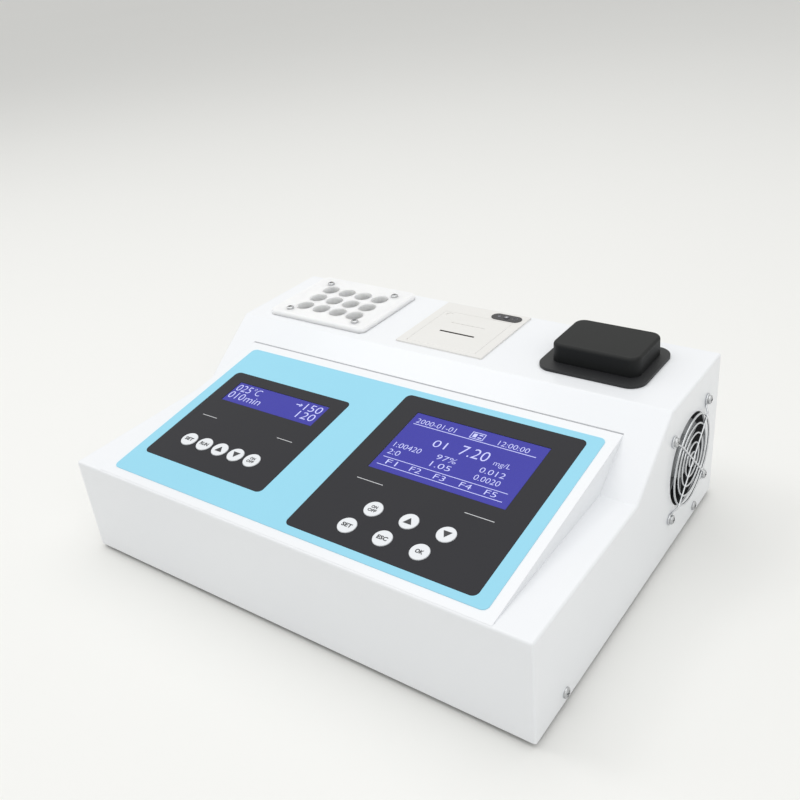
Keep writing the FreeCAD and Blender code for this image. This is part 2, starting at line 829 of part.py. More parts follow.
def key_places():
    """Middle of each key on the console, by keypad."""
    middle = (DIGESTER_KEYS - 1)/2
    digester = [
        (f"({DIGESTER_FILM_X} + digester_key_x + ({number} - {middle})*digester_key_pitch)",
         DIGESTER_KEY_Y)
        for number in range(DIGESTER_KEYS)
    ]
    middle = (METER_KEYS_IN_ROW - 1)/2
    meter = [
        (f"({METER_FILM_X} + meter_{row}_x + ({number} - {middle})*meter_key_pitch)",
         f"({STRETCH}*(meter_film_centre + meter_{row}_shift))")
        for row in ("upper", "lower")
        for number in range(METER_KEYS_IN_ROW)
    ]
    return {"digester": digester, "meter": meter}


def panel_cutters(side):
    """The window and key holes of one keypad, cut through the film and the console's cover."""
    x, y, width, length = display_places()[side]
    depth = "console_wall + 4*film_thickness"
    low = "-console_wall - film_thickness"
    tools = [centred_box("window", (x, y), (f"{width} + 2*fit", f"{length} + 2*fit", depth), low)]
    for key_x, key_y in key_places()[side]:
        tools.append(rod("key_hole", (key_x, key_y, low), "key_radius + key_gap", depth))
    return tools


def console_cover():
    """The raised wedge over the deck, closed at its sides, open below, with studs for the boards."""
    kink = f"{FRONT} + {SLOPE_START}"
    start = f"{FRONT} + console_start"
    ratio = f"({CONSOLE_RISE}/{CONSOLE_REAR})"
    drop = f"(console_wall/cos({CONSOLE_TILT}))"
    points = [
        (start, DECK),
        (kink, DECK),
        (f"{FRONT} + {CONSOLE_REAR}", f"{DECK} + {CONSOLE_RISE}"),
        (start, f"{DECK} + {ratio}*console_start"),
    ]
    outer = extrusion("cover_outer", "YZ_Plane", points, f"2*{CONSOLE_HALF}", True)
    near = "(opening_inset + console_start)"
    far = f"({CONSOLE_REAR} - opening_inset)"
    inside = [
        (f"{FRONT} + {near}", f"{DECK} - opening_inset"),
        (f"{FRONT} + {far}", f"{DECK} - opening_inset"),
        (f"{FRONT} + {far}", f"{DECK} + {ratio}*{far} - {drop}"),
        (f"{FRONT} + {near}", f"{DECK} + {ratio}*{near} - {drop}"),
    ]
    hollow = extrusion("cover_hollow", "YZ_Plane", inside, f"2*{CONSOLE_HALF} - 2*console_wall", True)
    holes = on_console(join("cover_holes", panel_cutters("digester") + panel_cutters("meter")))
    shell = cut("cover_shell", outer, [hollow, holes])
    studs = [
        rod("stud", (x, y, f"-console_wall - {KEY_BOARD_DROP}"), "stud_radius", f"{KEY_BOARD_DROP} + overlap")
        for x, y in stud_places()
    ]
    return node("console_cover", join("console_cover", [shell, on_console(join("cover_studs", studs))]))


def key_board_places():
    """Middle, width and length of the two boards behind the keys."""
    return {
        "digester": (
            f"({DIGESTER_FILM_X} + digester_key_x)", DIGESTER_KEY_Y,
            f"({DIGESTER_KEYS - 1}*digester_key_pitch + 2*key_board_margin)", "(2*key_board_margin)",
        ),
        "meter": (
            f"({METER_FILM_X} + meter_upper_x/2 + meter_lower_x/2)",
            f"({STRETCH}*(meter_film_centre + meter_upper_shift/2 + meter_lower_shift/2))",
            f"({METER_KEYS_IN_ROW - 1}*meter_key_pitch + meter_upper_x - meter_lower_x + 2*key_board_margin)",
            f"({STRETCH}*(meter_upper_shift - meter_lower_shift) + 2*key_board_margin)",
        ),
    }


def stud_places():
    """Studs under the cover: four for each key board, near its corners."""
    places = []
    for x, y, width, length in key_board_places().values():
        for side in "-+":
            for end in "-+":
                places.append((f"{x} {side} ({width}/2 - stud_inset)", f"{y} {end} ({length}/2 - stud_inset)"))
    return places


def panel_overlay():
    """The printed film on the console, with a window for each keypad film."""
    size = (OVERLAY_WIDTH, OVERLAY_LENGTH, "overlay_thickness")
    film = slab("overlay_film", ("0", f"(overlay_front + {OVERLAY_LENGTH}/2)"), size, "0", "film_corner")
    tools = []
    for side, (x, y, width, length) in film_places().items():
        window = (f"{width} + 2*slip", f"{length} + 2*slip", "3*overlay_thickness")
        tools.append(slab(f"{side}_film_window", (x, y), window, "-overlay_thickness", "film_corner"))
    return node("panel_overlay", on_console(cut("panel_overlay", film, tools)))


def keypad(side):
    """A keypad film with its display window and key holes."""
    x, y, width, length = film_places()[side]
    film = slab(f"{side}_film", (x, y), (width, length, "film_thickness"), "0", "film_corner")
    return node(f"{side}_keypad", on_console(cut(f"{side}_keypad", film, panel_cutters(side))))


def display(side):
    """A display module: a box under the cover and the glass that fills the window."""
    x, y, width, length = display_places()[side]
    back = centred_box(
        f"{side}_display_back", (x, y),
        (f"{width} + 2*display_border", f"{length} + 2*display_border", "display_thickness"),
        "-console_wall - fit - display_thickness",
    )
    size = (width, length, "console_wall + 2*fit + film_thickness - display_recess")
    glass = centred_box(f"{side}_display_glass", (x, y), size, "-console_wall - 2*fit")
    return node(f"{side}_display", on_console(join(f"{side}_display", [back, glass])))


def key_board(side):
    """A board behind the keys with one dome switch under each."""
    x, y, width, length = key_board_places()[side]
    top = f"-console_wall - {KEY_BOARD_DROP}"
    board = centred_box(
        f"{side}_board", (x, y), (width, length, "board_thickness"), f"{top} - board_thickness"
    )
    switches = []
    for key_x, key_y in key_places()[side]:
        size = ("switch_base", "switch_base", "switch_height - dome_height")
        at = (key_x, key_y, f"{top} + switch_height - dome_height")
        switches.append(centred_box("switch_body", (key_x, key_y), size, top))
        switches.append(rod("switch_dome", at, "dome_radius", "dome_height"))
    return node(f"{side}_key_board", on_console(join(f"{side}_key_board", [board, *switches])))


def keys(side):
    """The round keys of one keypad, each with a flange that holds it under the cover."""
    for number, (x, y) in enumerate(key_places()[side], start=1):
        name = f"{side}_key_{number}"
        low = "(-console_wall - fit/2 - key_flange_thickness)"
        cap = rod(f"{name}_cap", (x, y, low), "key_radius", f"film_thickness + key_stand - {low}")
        flange = rod(f"{name}_flange", (x, y, low), "key_radius + key_flange", "key_flange_thickness")
        node(name, on_console(join(name, [cap, flange])))


def vial_places():
    """Middle of each vial hole."""
    return [
        (f"({DIGESTER_X} + ({column} - {(VIAL_COLUMNS - 1)/2})*vial_pitch)",
         f"({DIGESTER_Y} + ({row} - {(VIAL_ROWS - 1)/2})*vial_pitch)")
        for row in range(VIAL_ROWS)
        for column in range(VIAL_COLUMNS)
    ]


def plate_screw_places():
    """The four screws that hold the block to the plate."""
    return [
        (f"({DIGESTER_X} {side} ({(VIAL_COLUMNS - 1)/2}*vial_pitch + plate_screw_side))",
         f"({DIGESTER_Y} {end} ({(VIAL_ROWS - 1)/2}*vial_pitch + plate_screw_end))")
        for side in "-+" for end in "-+"
    ]


def digestion_plate():
    """The white insulating plate with twelve vial holes and a spigot through the hood."""
    middle = (f"({DIGESTER_X} + (plate_right - plate_left)/2)", f"({DIGESTER_Y} + (plate_rear - plate_front)/2)")
    size = (
        f"{BLOCK_WIDTH} + plate_left + plate_right", f"{BLOCK_LENGTH} + plate_front + plate_rear", "plate_thickness",
    )
    top = slab("plate_top", middle, size, TOP, "plate_corner", "plate_edge")
    middle = (DIGESTER_X, DIGESTER_Y)
    size = (SPIGOT_WIDTH, SPIGOT_LENGTH, "spigot_drop + overlap")
    spigot = centred_box("plate_spigot", middle, size, BLOCK_TOP)
    low = f"{BLOCK_TOP} - past"
    through = "spigot_drop + plate_thickness + 2*past"
    tools = [rod("vial_hole", (x, y, low), "vial_radius", through) for x, y in vial_places()]
    tools += [
        rod("plate_screw_hole", (x, y, low), "plate_screw_radius + slip", through)
        for x, y in plate_screw_places()
    ]
    return node("digestion_plate", cut("digestion_plate", join("plate_whole", [top, spigot]), tools))


def plate_screws():
    """Four screws from the plate's top into the heating block."""
    size = ("plate_screw_radius", "plate_screw_length", "plate_head_radius", "plate_head_height")
    screws = []
    for x, y in plate_screw_places():
        screws.append(screw("plate_screw", (x, y, f"({TOP} + plate_thickness)"), *size, "z", 1))
    return node("plate_screws", group("plate_screws", screws))


def heating_block():
    """The aluminium block with twelve blind bores, tapped corners and a bore for the sensor."""
    low = f"{BLOCK_TOP} - {BLOCK_HEIGHT}"
    size = (BLOCK_WIDTH, BLOCK_LENGTH, BLOCK_HEIGHT)
    block = centred_box("block_whole", (DIGESTER_X, DIGESTER_Y), size, low)
    tools = [
        rod("vial_bore", (x, y, f"{BLOCK_TOP} - vial_depth"), "vial_radius", "vial_depth + past")
        for x, y in vial_places()
    ]
    reach = "(plate_screw_length - plate_thickness - spigot_drop)"
    tools += [
        rod("tapped_hole", (x, y, f"{BLOCK_TOP} - {reach}"), "plate_screw_radius", f"{reach} + past")
        for x, y in plate_screw_places()
    ]
    at = (SENSOR_X, DIGESTER_Y, SENSOR_Z)
    tools.append(rod("sensor_bore", at, "sensor_radius + slip", "sensor_depth + past", "x"))
    return node("heating_block", cut("heating_block", block, tools))


def heater_pad():
    """The flat heater under the block."""
    low = f"{BLOCK_TOP} - {BLOCK_HEIGHT} - heater_thickness"
    size = (BLOCK_WIDTH, BLOCK_LENGTH, "heater_thickness")
    return node("heater_pad", centred_box("heater_pad", (DIGESTER_X, DIGESTER_Y), size, low))


def block_sensor():
    """The temperature probe in the block, with its tail out through the jacket."""
    at = (SENSOR_X, DIGESTER_Y, SENSOR_Z)
    return node("block_sensor", rod("block_sensor", at, "sensor_radius", "sensor_depth + sensor_tail", "x"))


def insulation_jacket():
    """The insulation round and under the heating block."""
    middle = (DIGESTER_X, DIGESTER_Y)
    width = f"({BLOCK_WIDTH} + 2*jacket_gap)"
    length = f"({BLOCK_LENGTH} + 2*jacket_gap)"
    size = (f"{width} + 2*jacket_wall", f"{length} + 2*jacket_wall", f"{BLOCK_TOP} - {JACKET_LOW}")
    outer = centred_box("jacket_outer", middle, size, JACKET_LOW)
    size = (width, length, f"{BLOCK_TOP} - {JACKET_LOW}")
    inner = centred_box("jacket_inner", middle, size, f"{JACKET_LOW} + jacket_wall")
    at = (SENSOR_X, DIGESTER_Y, SENSOR_Z)
    way = rod("sensor_way", at, "sensor_radius + fit", "sensor_depth + jacket_gap + 2*jacket_wall", "x")
    return node("insulation_jacket", cut("insulation_jacket", outer, [inner, way]))


def block_stand():
    """A folded sheet stand that carries the jacket above the tray."""
    half = f"({BLOCK_LENGTH}/2)"
    points = [
        (f"-{half} - stand_front_foot", FLOOR),
        (f"-{half} + sheet", FLOOR),
        (f"-{half} + sheet", f"{JACKET_LOW} - sheet"),
        (f"{half} - sheet", f"{JACKET_LOW} - sheet"),
        (f"{half} - sheet", FLOOR),
        (f"{half} + stand_rear_foot", FLOOR),
        (f"{half} + stand_rear_foot", f"{FLOOR} + sheet"),
        (half, f"{FLOOR} + sheet"),
        (half, JACKET_LOW),
        (f"-{half}", JACKET_LOW),
        (f"-{half}", f"{FLOOR} + sheet"),
        (f"-{half} - stand_front_foot", f"{FLOOR} + sheet"),
    ]
    body = extrusion("block_stand", "YZ_Plane", points, "stand_width", True)
    return node("block_stand", place(body, (DIGESTER_X, DIGESTER_Y, "0")))


def cuvette_seat():
    """The black base of the lid: a flange, a collar through the hood and the hinge lugs."""
    middle = (CUVETTE_X, CUVETTE_Y)
    size = ("seat_width", "seat_length", "seat_thickness")
    flange = slab("seat_flange", middle, size, TOP, "seat_corner")
    size = (COLLAR_WIDTH, COLLAR_LENGTH, "collar_drop + overlap")
    collar = centred_box("seat_collar", middle, size, HOLDER_TOP)
    lugs = []
    for sign in "-+":
        x = f"({CUVETTE_X} {sign} (knuckle_width/2 + fit + lug_width/2))"
        start = f"{x} - lug_width/2"
        lugs.append(rod("lug_eye", (start, LID_AXIS_Y, LID_AXIS_Z), "knuckle_radius", "lug_width", "x"))
        size = ("lug_width", "2*knuckle_radius", "lid_hinge_rise + overlap")
        lugs.append(centred_box("lug_foot", (x, LID_AXIS_Y), size, f"{SEAT_TOP} - overlap"))
    size = (WELL_WIDTH, WELL_LENGTH, "collar_drop + seat_thickness + 2*past")
    well = centred_box("seat_well", middle, size, f"{HOLDER_TOP} - past")
    at = (f"{CUVETTE_X} - seat_width/2", LID_AXIS_Y, LID_AXIS_Z)
    bore = rod("lug_bore", at, "lid_pin_radius", "seat_width", "x")
    return node("cuvette_seat", cut("cuvette_seat", join("seat_whole", [flange, collar, *lugs]), [well, bore]))


def light_seal():
    """A foam ring on the seat inside the lid's skirt."""
    middle = (CUVETTE_X, LID_Y)
    outer = slab("seal_outer", middle, (SEAL_WIDTH, SEAL_LENGTH, "seal_height"), SEAT_TOP, "lid_corner/2")
    size = (f"{SEAL_WIDTH} - 2*seal_ring", f"{SEAL_LENGTH} - 2*seal_ring", "seal_height + 2*past")
    inner = centred_box("seal_inner", middle, size, f"{SEAT_TOP} - past")
    return node("light_seal", cut("light_seal", outer, [inner]))


def cuvette_lid():
    """The hollow black lid with drafted sides and its hinge knuckle at the rear."""
    middle = (CUVETTE_X, LID_Y)
    low = f"({SEAT_TOP} + lid_gap)"
    size = ("lid_width", "lid_length", "lid_height")
    block = slab("lid_block", middle, size, low, "lid_corner", "lid_edge", "lid_draft")
    start = f"{CUVETTE_X} - knuckle_width/2"
    reach = "(lid_hinge_back + lid_wall/2)"
    arm = box(
        "knuckle_arm", (start, f"{LID_AXIS_Y} - {reach}", f"{LID_AXIS_Z} - knuckle_radius"),
        ("knuckle_width", reach, "2*knuckle_radius"),
    )
    knuckle = rod("knuckle", (start, LID_AXIS_Y, LID_AXIS_Z), "knuckle_radius", "knuckle_width", "x")
    size = ("lid_width - 2*lid_wall", "lid_length - 2*lid_wall", "lid_height - lid_wall + past")
    hollow = slab("lid_hollow", middle, size, f"{low} - past", "lid_corner - lid_wall")
    at = (f"{CUVETTE_X} - knuckle_width", LID_AXIS_Y, LID_AXIS_Z)
    bore = rod("knuckle_bore", at, "lid_pin_radius + slip", "2*knuckle_width", "x")
    return node("cuvette_lid", cut("cuvette_lid", join("lid_whole", [block, arm, knuckle]), [hollow, bore]))


def lid_pin():
    """The pin through the lid's knuckle and the seat's lugs."""
    length = "(knuckle_width + 2*fit + 2*lug_width)"
    at = (f"{CUVETTE_X} - {length}/2", LID_AXIS_Y, LID_AXIS_Z)
    return node("lid_hinge_pin", rod("lid_hinge_pin", at, "lid_pin_radius", length, "x"))


def cuvette_holder():
    """The holder under the seat: a well for the cuvette crossed by the light path."""
    low = f"{HOLDER_TOP} - holder_height"
    middle = (CUVETTE_X, CUVETTE_Y)
    block = centred_box("holder_whole", middle, ("holder_width", "holder_length", "holder_height"), low)
    size = ("cuvette_width", "cuvette_length", "cuvette_depth + past")
    well = centred_box("holder_well", middle, size, f"{HOLDER_TOP} - cuvette_depth")
    at = (f"{CUVETTE_X} - holder_width/2 - past", CUVETTE_Y, BEAM_Z)
    beam = rod("beam_bore", at, "beam_radius", "holder_width + 2*past", "x")
    return node("cuvette_holder", cut("cuvette_holder", block, [well, beam]))


def optics_board(name, sign):
    """A board on the side of the holder whose lamp or detector reaches into the light path."""
    face = f"({CUVETTE_X} {sign} holder_width/2)"
    low_x = f"{face} - board_thickness" if sign == "-" else face
    corner = (low_x, f"{CUVETTE_Y} - optics_board_width/2", f"{BEAM_Z} - optics_board_height/2")
    board = box(f"{name}_plate", corner, ("board_thickness", "optics_board_width", "optics_board_height"))
    start = f"{face} - overlap" if sign == "-" else f"{face} - lamp_length + overlap"
    lamp = rod(f"{name}_lamp", (start, CUVETTE_Y, BEAM_Z), "lamp_radius", "lamp_length", "x")
    return node(name, join(name, [board, lamp]))


def printer_bezel():
    """The printer's face and housing in one moulding, with the spindle for the paper."""
    middle = (PRINTER_X, PRINTER_Y)
    low = f"({TOP} - housing_depth)"
    size = ("bezel_size", "bezel_size", "bezel_thickness")
    face = slab("bezel_face", middle, size, TOP, "bezel_corner", "bezel_edge")
    size = ("housing_size", "housing_size", "housing_depth + overlap")
    housing = centred_box("bezel_housing", middle, size, low)
    inner = "(housing_size - 2*housing_wall)"
    size = (inner, inner, "housing_depth - 2*housing_wall")
    bay = centred_box("bezel_bay", middle, size, f"{low} + housing_wall")
    door_y = f"({PRINTER_Y} + (door_front + door_rear)/2)"
    door_way = centred_box(
        "bezel_door_way", (PRINTER_X, door_y), ("door_width", "door_rear - door_front", "4*housing_wall"),
        f"{TOP} - 2*housing_wall",
    )
    at = (f"{PRINTER_X} - {inner}/2", DOOR_AXIS_Y, DOOR_AXIS_Z)
    pin = rod("bezel_pin_bore", at, "door_pin_radius", inner, "x")
    at = (*BUTTON, f"{TOP} - 2*housing_wall")
    button = rod("bezel_button_hole", at, "button_radius + button_gap", "4*housing_wall")
    hollow = cut("bezel_hollow", join("bezel_whole", [face, housing]), [bay, door_way, pin, button])
    length = "(housing_size - housing_wall)"
    at = (f"{PRINTER_X} - {length}/2", ROLL_Y, ROLL_Z)
    spindle = rod("paper_spindle", at, "spindle_radius", length, "x")
    return node("printer_bezel", join("printer_bezel", [hollow, spindle]))


def printer_door():
    """The paper door: a plate with the paper slot and a fine groove, round at the hinged edge."""
    back = f"({PRINTER_Y} + door_rear - door_gap)"
    width = "(door_width - 2*door_gap)"
    corner = (f"{PRINTER_X} - {width}/2", DOOR_AXIS_Y, DOOR_AXIS_Z)
    plate = box("door_plate", corner, (width, f"{back} - {DOOR_AXIS_Y}", "door_thickness"))
    edge = rod("door_edge", corner, "door_thickness", width, "x")
    middle = (PRINTER_X, f"({PRINTER_Y} + slot_place)")
    size = ("slot_width", "slot_length", "3*door_thickness")
    slot = centred_box("door_slot", middle, size, f"{FACE} - 2*door_thickness")
    middle = (PRINTER_X, f"({PRINTER_Y} + slot_place + groove_back)")
    size = ("slot_width", "groove_length", "groove_depth + past")
    groove = centred_box("door_groove", middle, size, f"{FACE} - groove_depth")
    at = (f"{PRINTER_X} + notch_x", f"{PRINTER_Y} + notch_y", f"{FACE} - notch_depth")
    notch = rod("door_notch", at, "notch_radius", "notch_depth + past")
    at = (f"{PRINTER_X} - door_width", DOOR_AXIS_Y, DOOR_AXIS_Z)
    bore = rod("door_bore", at, "door_pin_radius + slip", "2*door_width", "x")
    door = cut("printer_door", join("door_whole", [plate, edge]), [slot, groove, notch, bore])
    return node("printer_door", door)


def door_pin():
    """The pin along the door's front edge."""
    length = "(housing_size - 2*housing_wall)"
    at = (f"{PRINTER_X} - {length}/2", DOOR_AXIS_Y, DOOR_AXIS_Z)
    return node("door_hinge_pin", rod("door_hinge_pin", at, "door_pin_radius", length, "x"))


def printer_pod():
    """The dark oval plate round the feed button."""
    x, y = BUTTON
    straight = "(pod_width - pod_length)"
    middle = centred_box("pod_middle", (x, y), (straight, "pod_length", "pod_height"), FACE)
    ends = [
        rod("pod_end", (f"{x} {sign} {straight}/2", y, FACE), "pod_length/2", "pod_height") for sign in "-+"
    ]
    hole = rod("pod_hole", (x, y, f"{FACE} - past"), "button_radius + button_gap", "pod_height + 2*past")
    return node("printer_pod", cut("printer_pod", join("pod_whole", [middle, *ends]), [hole]))


def feed_button():
    """The feed button with the flange that holds it under the bezel."""
    x, y = BUTTON
    low = f"({TOP} - housing_wall - fit)"
    cap = rod("button_cap", (x, y, low), "button_radius", f"{FACE} + pod_height + button_stand - {low}")
    at = (x, y, f"{low} - button_flange_height")
    flange = rod("button_flange", at, "button_radius + button_gap + button_flange", "button_flange_height")
    return node("feed_button", join("feed_button", [cap, flange]))


def printer_mechanism():
    """Two side plates and the print head bar between them."""
    floor = f"({TOP} - housing_depth + housing_wall)"
    high = f"({PLATEN_Z} + platen_radius + mechanism_rise)"
    plates = []
    for sign in "-+":
        middle = f"{PRINTER_X} {sign} (platen_length/2 + fit + mechanism_plate/2)"
        size = ("mechanism_plate", "mechanism_length", f"{high} - {floor}")
        plates.append(centred_box("mechanism_side", (middle, f"({PLATEN_Y} + mechanism_ahead)"), size, floor))
    middle = (PRINTER_X, f"({PLATEN_Y} + platen_radius + head_gap + head_thickness/2)")
    size = ("platen_length + 2*fit + mechanism_plate", "head_thickness", "head_height")
    bar = centred_box("print_head", middle, size, f"{high} - head_drop - head_height")
    at = (f"{PRINTER_X} - platen_length", PLATEN_Y, PLATEN_Z)
    bore = rod("shaft_bore", at, "platen_shaft_radius + slip", "2*platen_length", "x")
    return node("printer_mechanism", cut("printer_mechanism", join("mechanism_whole", [*plates, bar]), [bore]))


def platen_roller():
    """The rubber roller and its shaft."""
    at = (f"{PRINTER_X} - platen_length/2", PLATEN_Y, PLATEN_Z)
    roller = rod("platen_rubber", at, "platen_radius", "platen_length", "x")
    length = "(platen_length + 2*fit + 2*mechanism_plate + 2*shaft_end)"
    at = (f"{PRINTER_X} - {length}/2", PLATEN_Y, PLATEN_Z)
    shaft = rod("platen_shaft", at, "platen_shaft_radius", length, "x")
    return node("platen_roller", join("platen_roller", [roller, shaft]))


def paper_roll():
    """The roll of paper on its spindle."""
    start = f"{PRINTER_X} - roll_width/2"
    roll = rod("roll_whole", (start, ROLL_Y, ROLL_Z), "roll_radius", "roll_width", "x")
    bore = rod("roll_core", (f"{start} - past", ROLL_Y, ROLL_Z), "roll_bore", "roll_width + 2*past", "x")
    return node("paper_roll", cut("paper_roll", roll, [bore]))


def fan_corners():
    """The four screws of the fan, in the plane of the right side."""
    return [
        (f"({FAN_Y} {side} {FAN_PITCH}/2)", f"({FAN_Z} {end} {FAN_PITCH}/2)")
        for side in "-+" for end in "-+"
    ]


def fan_frame():
    """The square frame of the fan with its ring, motor seat and four struts."""
    inner = f"({FAN_OUT} - fan_thickness)"
    corner = (inner, f"{FAN_Y} - fan_size/2", f"{FAN_Z} - fan_size/2")
    outer = box("fan_block", corner, ("fan_thickness", "fan_size", "fan_size"))
    start = f"{inner} - past"
    through = "fan_thickness + 2*past"
    tunnel = rod("fan_tunnel", (start, FAN_Y, FAN_Z), "fan_opening", through, "x")
    holes = [rod("fan_ear_hole", (start, y, z), "fan_screw_radius", through, "x") for y, z in fan_corners()]
    ring = cut("fan_ring", outer, [tunnel, *holes])
    seat = rod("fan_motor_seat", (inner, FAN_Y, FAN_Z), "fan_hub", "motor_seat", "x")
    half = "(fan_opening + overlap)"
    struts = [
        box(
            "fan_strut_level", (inner, f"{FAN_Y} - {half}", f"{FAN_Z} - strut_width/2"),
            ("strut_depth", f"2*{half}", "strut_width"),
        ),
        box(
            "fan_strut_upright", (inner, f"{FAN_Y} - strut_width/2", f"{FAN_Z} - {half}"),
            ("strut_depth", "strut_width", f"2*{half}"),
        ),
    ]
    return node("fan_frame", join("fan_frame", [ring, seat, *struts]))


def fan_rotor():
    """The hub and seven pitched blades."""
    hub = rod("rotor_hub", (ROTOR_X, FAN_Y, FAN_Z), "fan_hub", ROTOR_DEPTH, "x")
    chord = f"({ROTOR_DEPTH} - 2*blade_inset)"
    size = (chord, "blade_thickness", "fan_tip - fan_hub + blade_root")
    blades = []
    for number in range(FAN_BLADES):
        blade = box("rotor_blade", (f"-{chord}/2", "-blade_thickness/2", "fan_hub - blade_root"), size)
        pitched = place(group("blade_pitch", [blade]), ("0", "0", "0"), (0, 0, 1), "blade_turn")
        middle = (f"{ROTOR_X} + {ROTOR_DEPTH}/2", FAN_Y, FAN_Z)
        turn = f"{360/FAN_BLADES}*{number}"
        blades.append(place(group("blade_place", [pitched]), middle, (1, 0, 0), turn))
    return node("fan_rotor", join("fan_rotor", [hub, *blades]))


def value(alias):
    """Read a size from the sheet."""
    return float(sheet.get(alias))


def fan_guard():
    """The wire guard: five rings, two crossed wires with legs and four loops at the screws."""
    wire = value("guard_wire")
    middle = FreeCAD.Vector(
        value("casing_width")/2,
        value("casing_depth")/2 - value("fan_from_rear"),
        value("foot_height") + value("fan_height"),
    )
    out = FreeCAD.Vector(1, 0, 0)
    rings_at = value("guard_stand")
    wires_at = rings_at + 2*wire - value("guard_weld")
    solids = []
    for number in range(GUARD_RINGS):
        radius = value("guard_ring") - number*value("guard_step")
        solids.append(Part.makeTorus(radius, wire, middle + out*rings_at, out))
    screw_reach = (value("fan_size")/2 - value("fan_hole_inset"))*math.sqrt(2)
    loop_reach = screw_reach - value("guard_loop") - wire
    bend_reach = value("guard_ring") + wire
    for angle in (45, 135):
        turn = math.radians(angle)
        along = FreeCAD.Vector(0, math.cos(turn), math.sin(turn))
        stops = [
            middle - along*loop_reach + out*wire,
            middle - along*bend_reach + out*wires_at,
            middle + along*bend_reach + out*wires_at,
            middle + along*loop_reach + out*wire,
        ]
        for start, end in zip(stops, stops[1:]):
            solids.append(Part.makeCylinder(wire, (end - start).Length, start, end - start))
        solids += [Part.makeSphere(wire, stop) for stop in stops]
        for sign in (-1, 1):
            centre = middle + along*(sign*screw_reach) + out*wire
            solids.append(Part.makeTorus(value("guard_loop"), wire, centre, out))
    whole = solids[0].multiFuse(solids[1:])
    guard = doc.addObject("Part::Feature", "fan_guard")
    guard.Shape = whole
    return node("fan_guard", guard)


def fan_screws():
    """Four screws through the guard's loops, the hood and the fan's frame."""
    screws = []
    reach = "(fan_screw_length + 2*guard_wire + sheet)"
    for y, z in fan_corners():
        at = (f"({SIDE} + 2*guard_wire)", y, z)
        size = ("fan_screw_radius", reach, "fan_head_radius", "fan_head_height")
        screws.append(screw("fan_screw", at, *size, "x", 1))
    return node("fan_screws", group("fan_screws", screws))


def power_inlet():
    """The mains inlet: a flange with ears, the socket with its three pins and the fuse drawer's slot."""
    low_z = f"({REAR_Z} - inlet_height/2)"
    flange = box(
        "inlet_face", ("inlet_x - inlet_width/2 - inlet_ear", REAR, f"{low_z} - inlet_lip"),
        ("inlet_width + 2*inlet_ear", "inlet_flange", "inlet_height + 2*inlet_lip"),
    )
    body = box(
        "inlet_body", ("inlet_x - inlet_width/2", f"{REAR} - inlet_depth", low_z),
        ("inlet_width", "inlet_depth + overlap", "inlet_height"),
    )
    mouth = f"({REAR} + inlet_flange)"
    socket = box(
        "inlet_socket", ("inlet_x - socket_width/2", f"{mouth} - socket_depth", SOCKET_LOW),
        ("socket_width", "socket_depth + past", "socket_height"),
    )
    drawer_way = box(
        "drawer_way", ("inlet_x - socket_width/2", f"{mouth} - drawer_depth", DRAWER_LOW),
        ("socket_width", "drawer_depth + past", "drawer_height"),
    )
    shell = cut("inlet_shell", join("inlet_whole", [flange, body]), [socket, drawer_way])
    size = ("pin_width", "socket_depth - pin_inset", "pin_height")
    pins = []
    for x, rise in (("-pin_spread", "-earth_rise/2"), ("0", "earth_rise/2"), ("pin_spread", "-earth_rise/2")):
        height = f"{SOCKET_LOW} + socket_height/2 + {rise} - pin_height/2"
        low = (f"inlet_x + {x} - pin_width/2", f"{mouth} - socket_depth - overlap", height)
        pins.append(box("inlet_blade", low, size))
    return node("power_inlet", join("power_inlet", [shell, *pins]))


def fuse_drawer():
    """The drawer above the socket that holds the fuse."""
    width = "(socket_width - 2*fit)"
    length = "(drawer_depth - past)"
    corner = (f"inlet_x - {width}/2", f"{REAR} + inlet_flange - {length}", f"{DRAWER_LOW} + fit")
    size = (width, f"{length} + drawer_lip", "drawer_height - 2*fit")
    return node("fuse_drawer", box("fuse_drawer", corner, size))


def switch_frame():
    """The frame of the mains switch with the well that the rocker turns in."""
    half = "(switch_width/2 + switch_rim)"
    tall = "(switch_length/2 + switch_rim)"
    corner = (f"switch_x - {half}", REAR, f"{REAR_Z} - {tall}")
    face = box("switch_face", corner, (f"2*{half}", "switch_rim", f"2*{tall}"))
    corner = ("switch_x - switch_width/2", f"{REAR} - switch_depth", f"{REAR_Z} - switch_length/2")
    body = box("switch_body", corner, ("switch_width", "switch_depth + overlap", "switch_length"))
    half = "(rocker_width/2 + rocker_gap)"
    tall = "(rocker_length/2 + rocker_sweep)"
    corner = (f"switch_x - {half}", f"{REAR} - switch_well", f"{REAR_Z} - {tall}")
    well = box("rocker_well", corner, (f"2*{half}", "switch_well + switch_rim + past", f"2*{tall}"))
    at = ("switch_x - rocker_width/2 - pivot_reach", ROCKER_Y, REAR_Z)
    bore = rod("switch_pivot_bore", at, "pivot_radius", "rocker_width + 2*pivot_reach", "x")
    return node("switch_frame", cut("switch_frame", join("switch_whole", [face, body]), [well, bore]))


def power_rocker():
    """The rocker, modelled in the off position, with its pivot stubs."""
    profile = [
        ("0", "-rocker_length/2"),
        ("rocker_tip", "-rocker_length/2"),
        ("rocker_waist", "0"),
        ("rocker_tip", "rocker_length/2"),
        ("0", "rocker_length/2"),
        ("-rocker_keel", "0"),
    ]
    cap = extrusion("rocker_cap", "YZ_Plane", profile, "rocker_width", True)
    half = "(rocker_width/2 + pivot_reach - rocker_gap)"
    stub = rod("rocker_stub", (f"-{half}", "0", "0"), "pivot_radius - slip", f"2*{half}", "x")
    whole = join("power_rocker", [cap, stub])
    return node("power_rocker", place(whole, ("switch_x", ROCKER_Y, REAR_Z), (1, 0, 0), "rocker_tilt"))


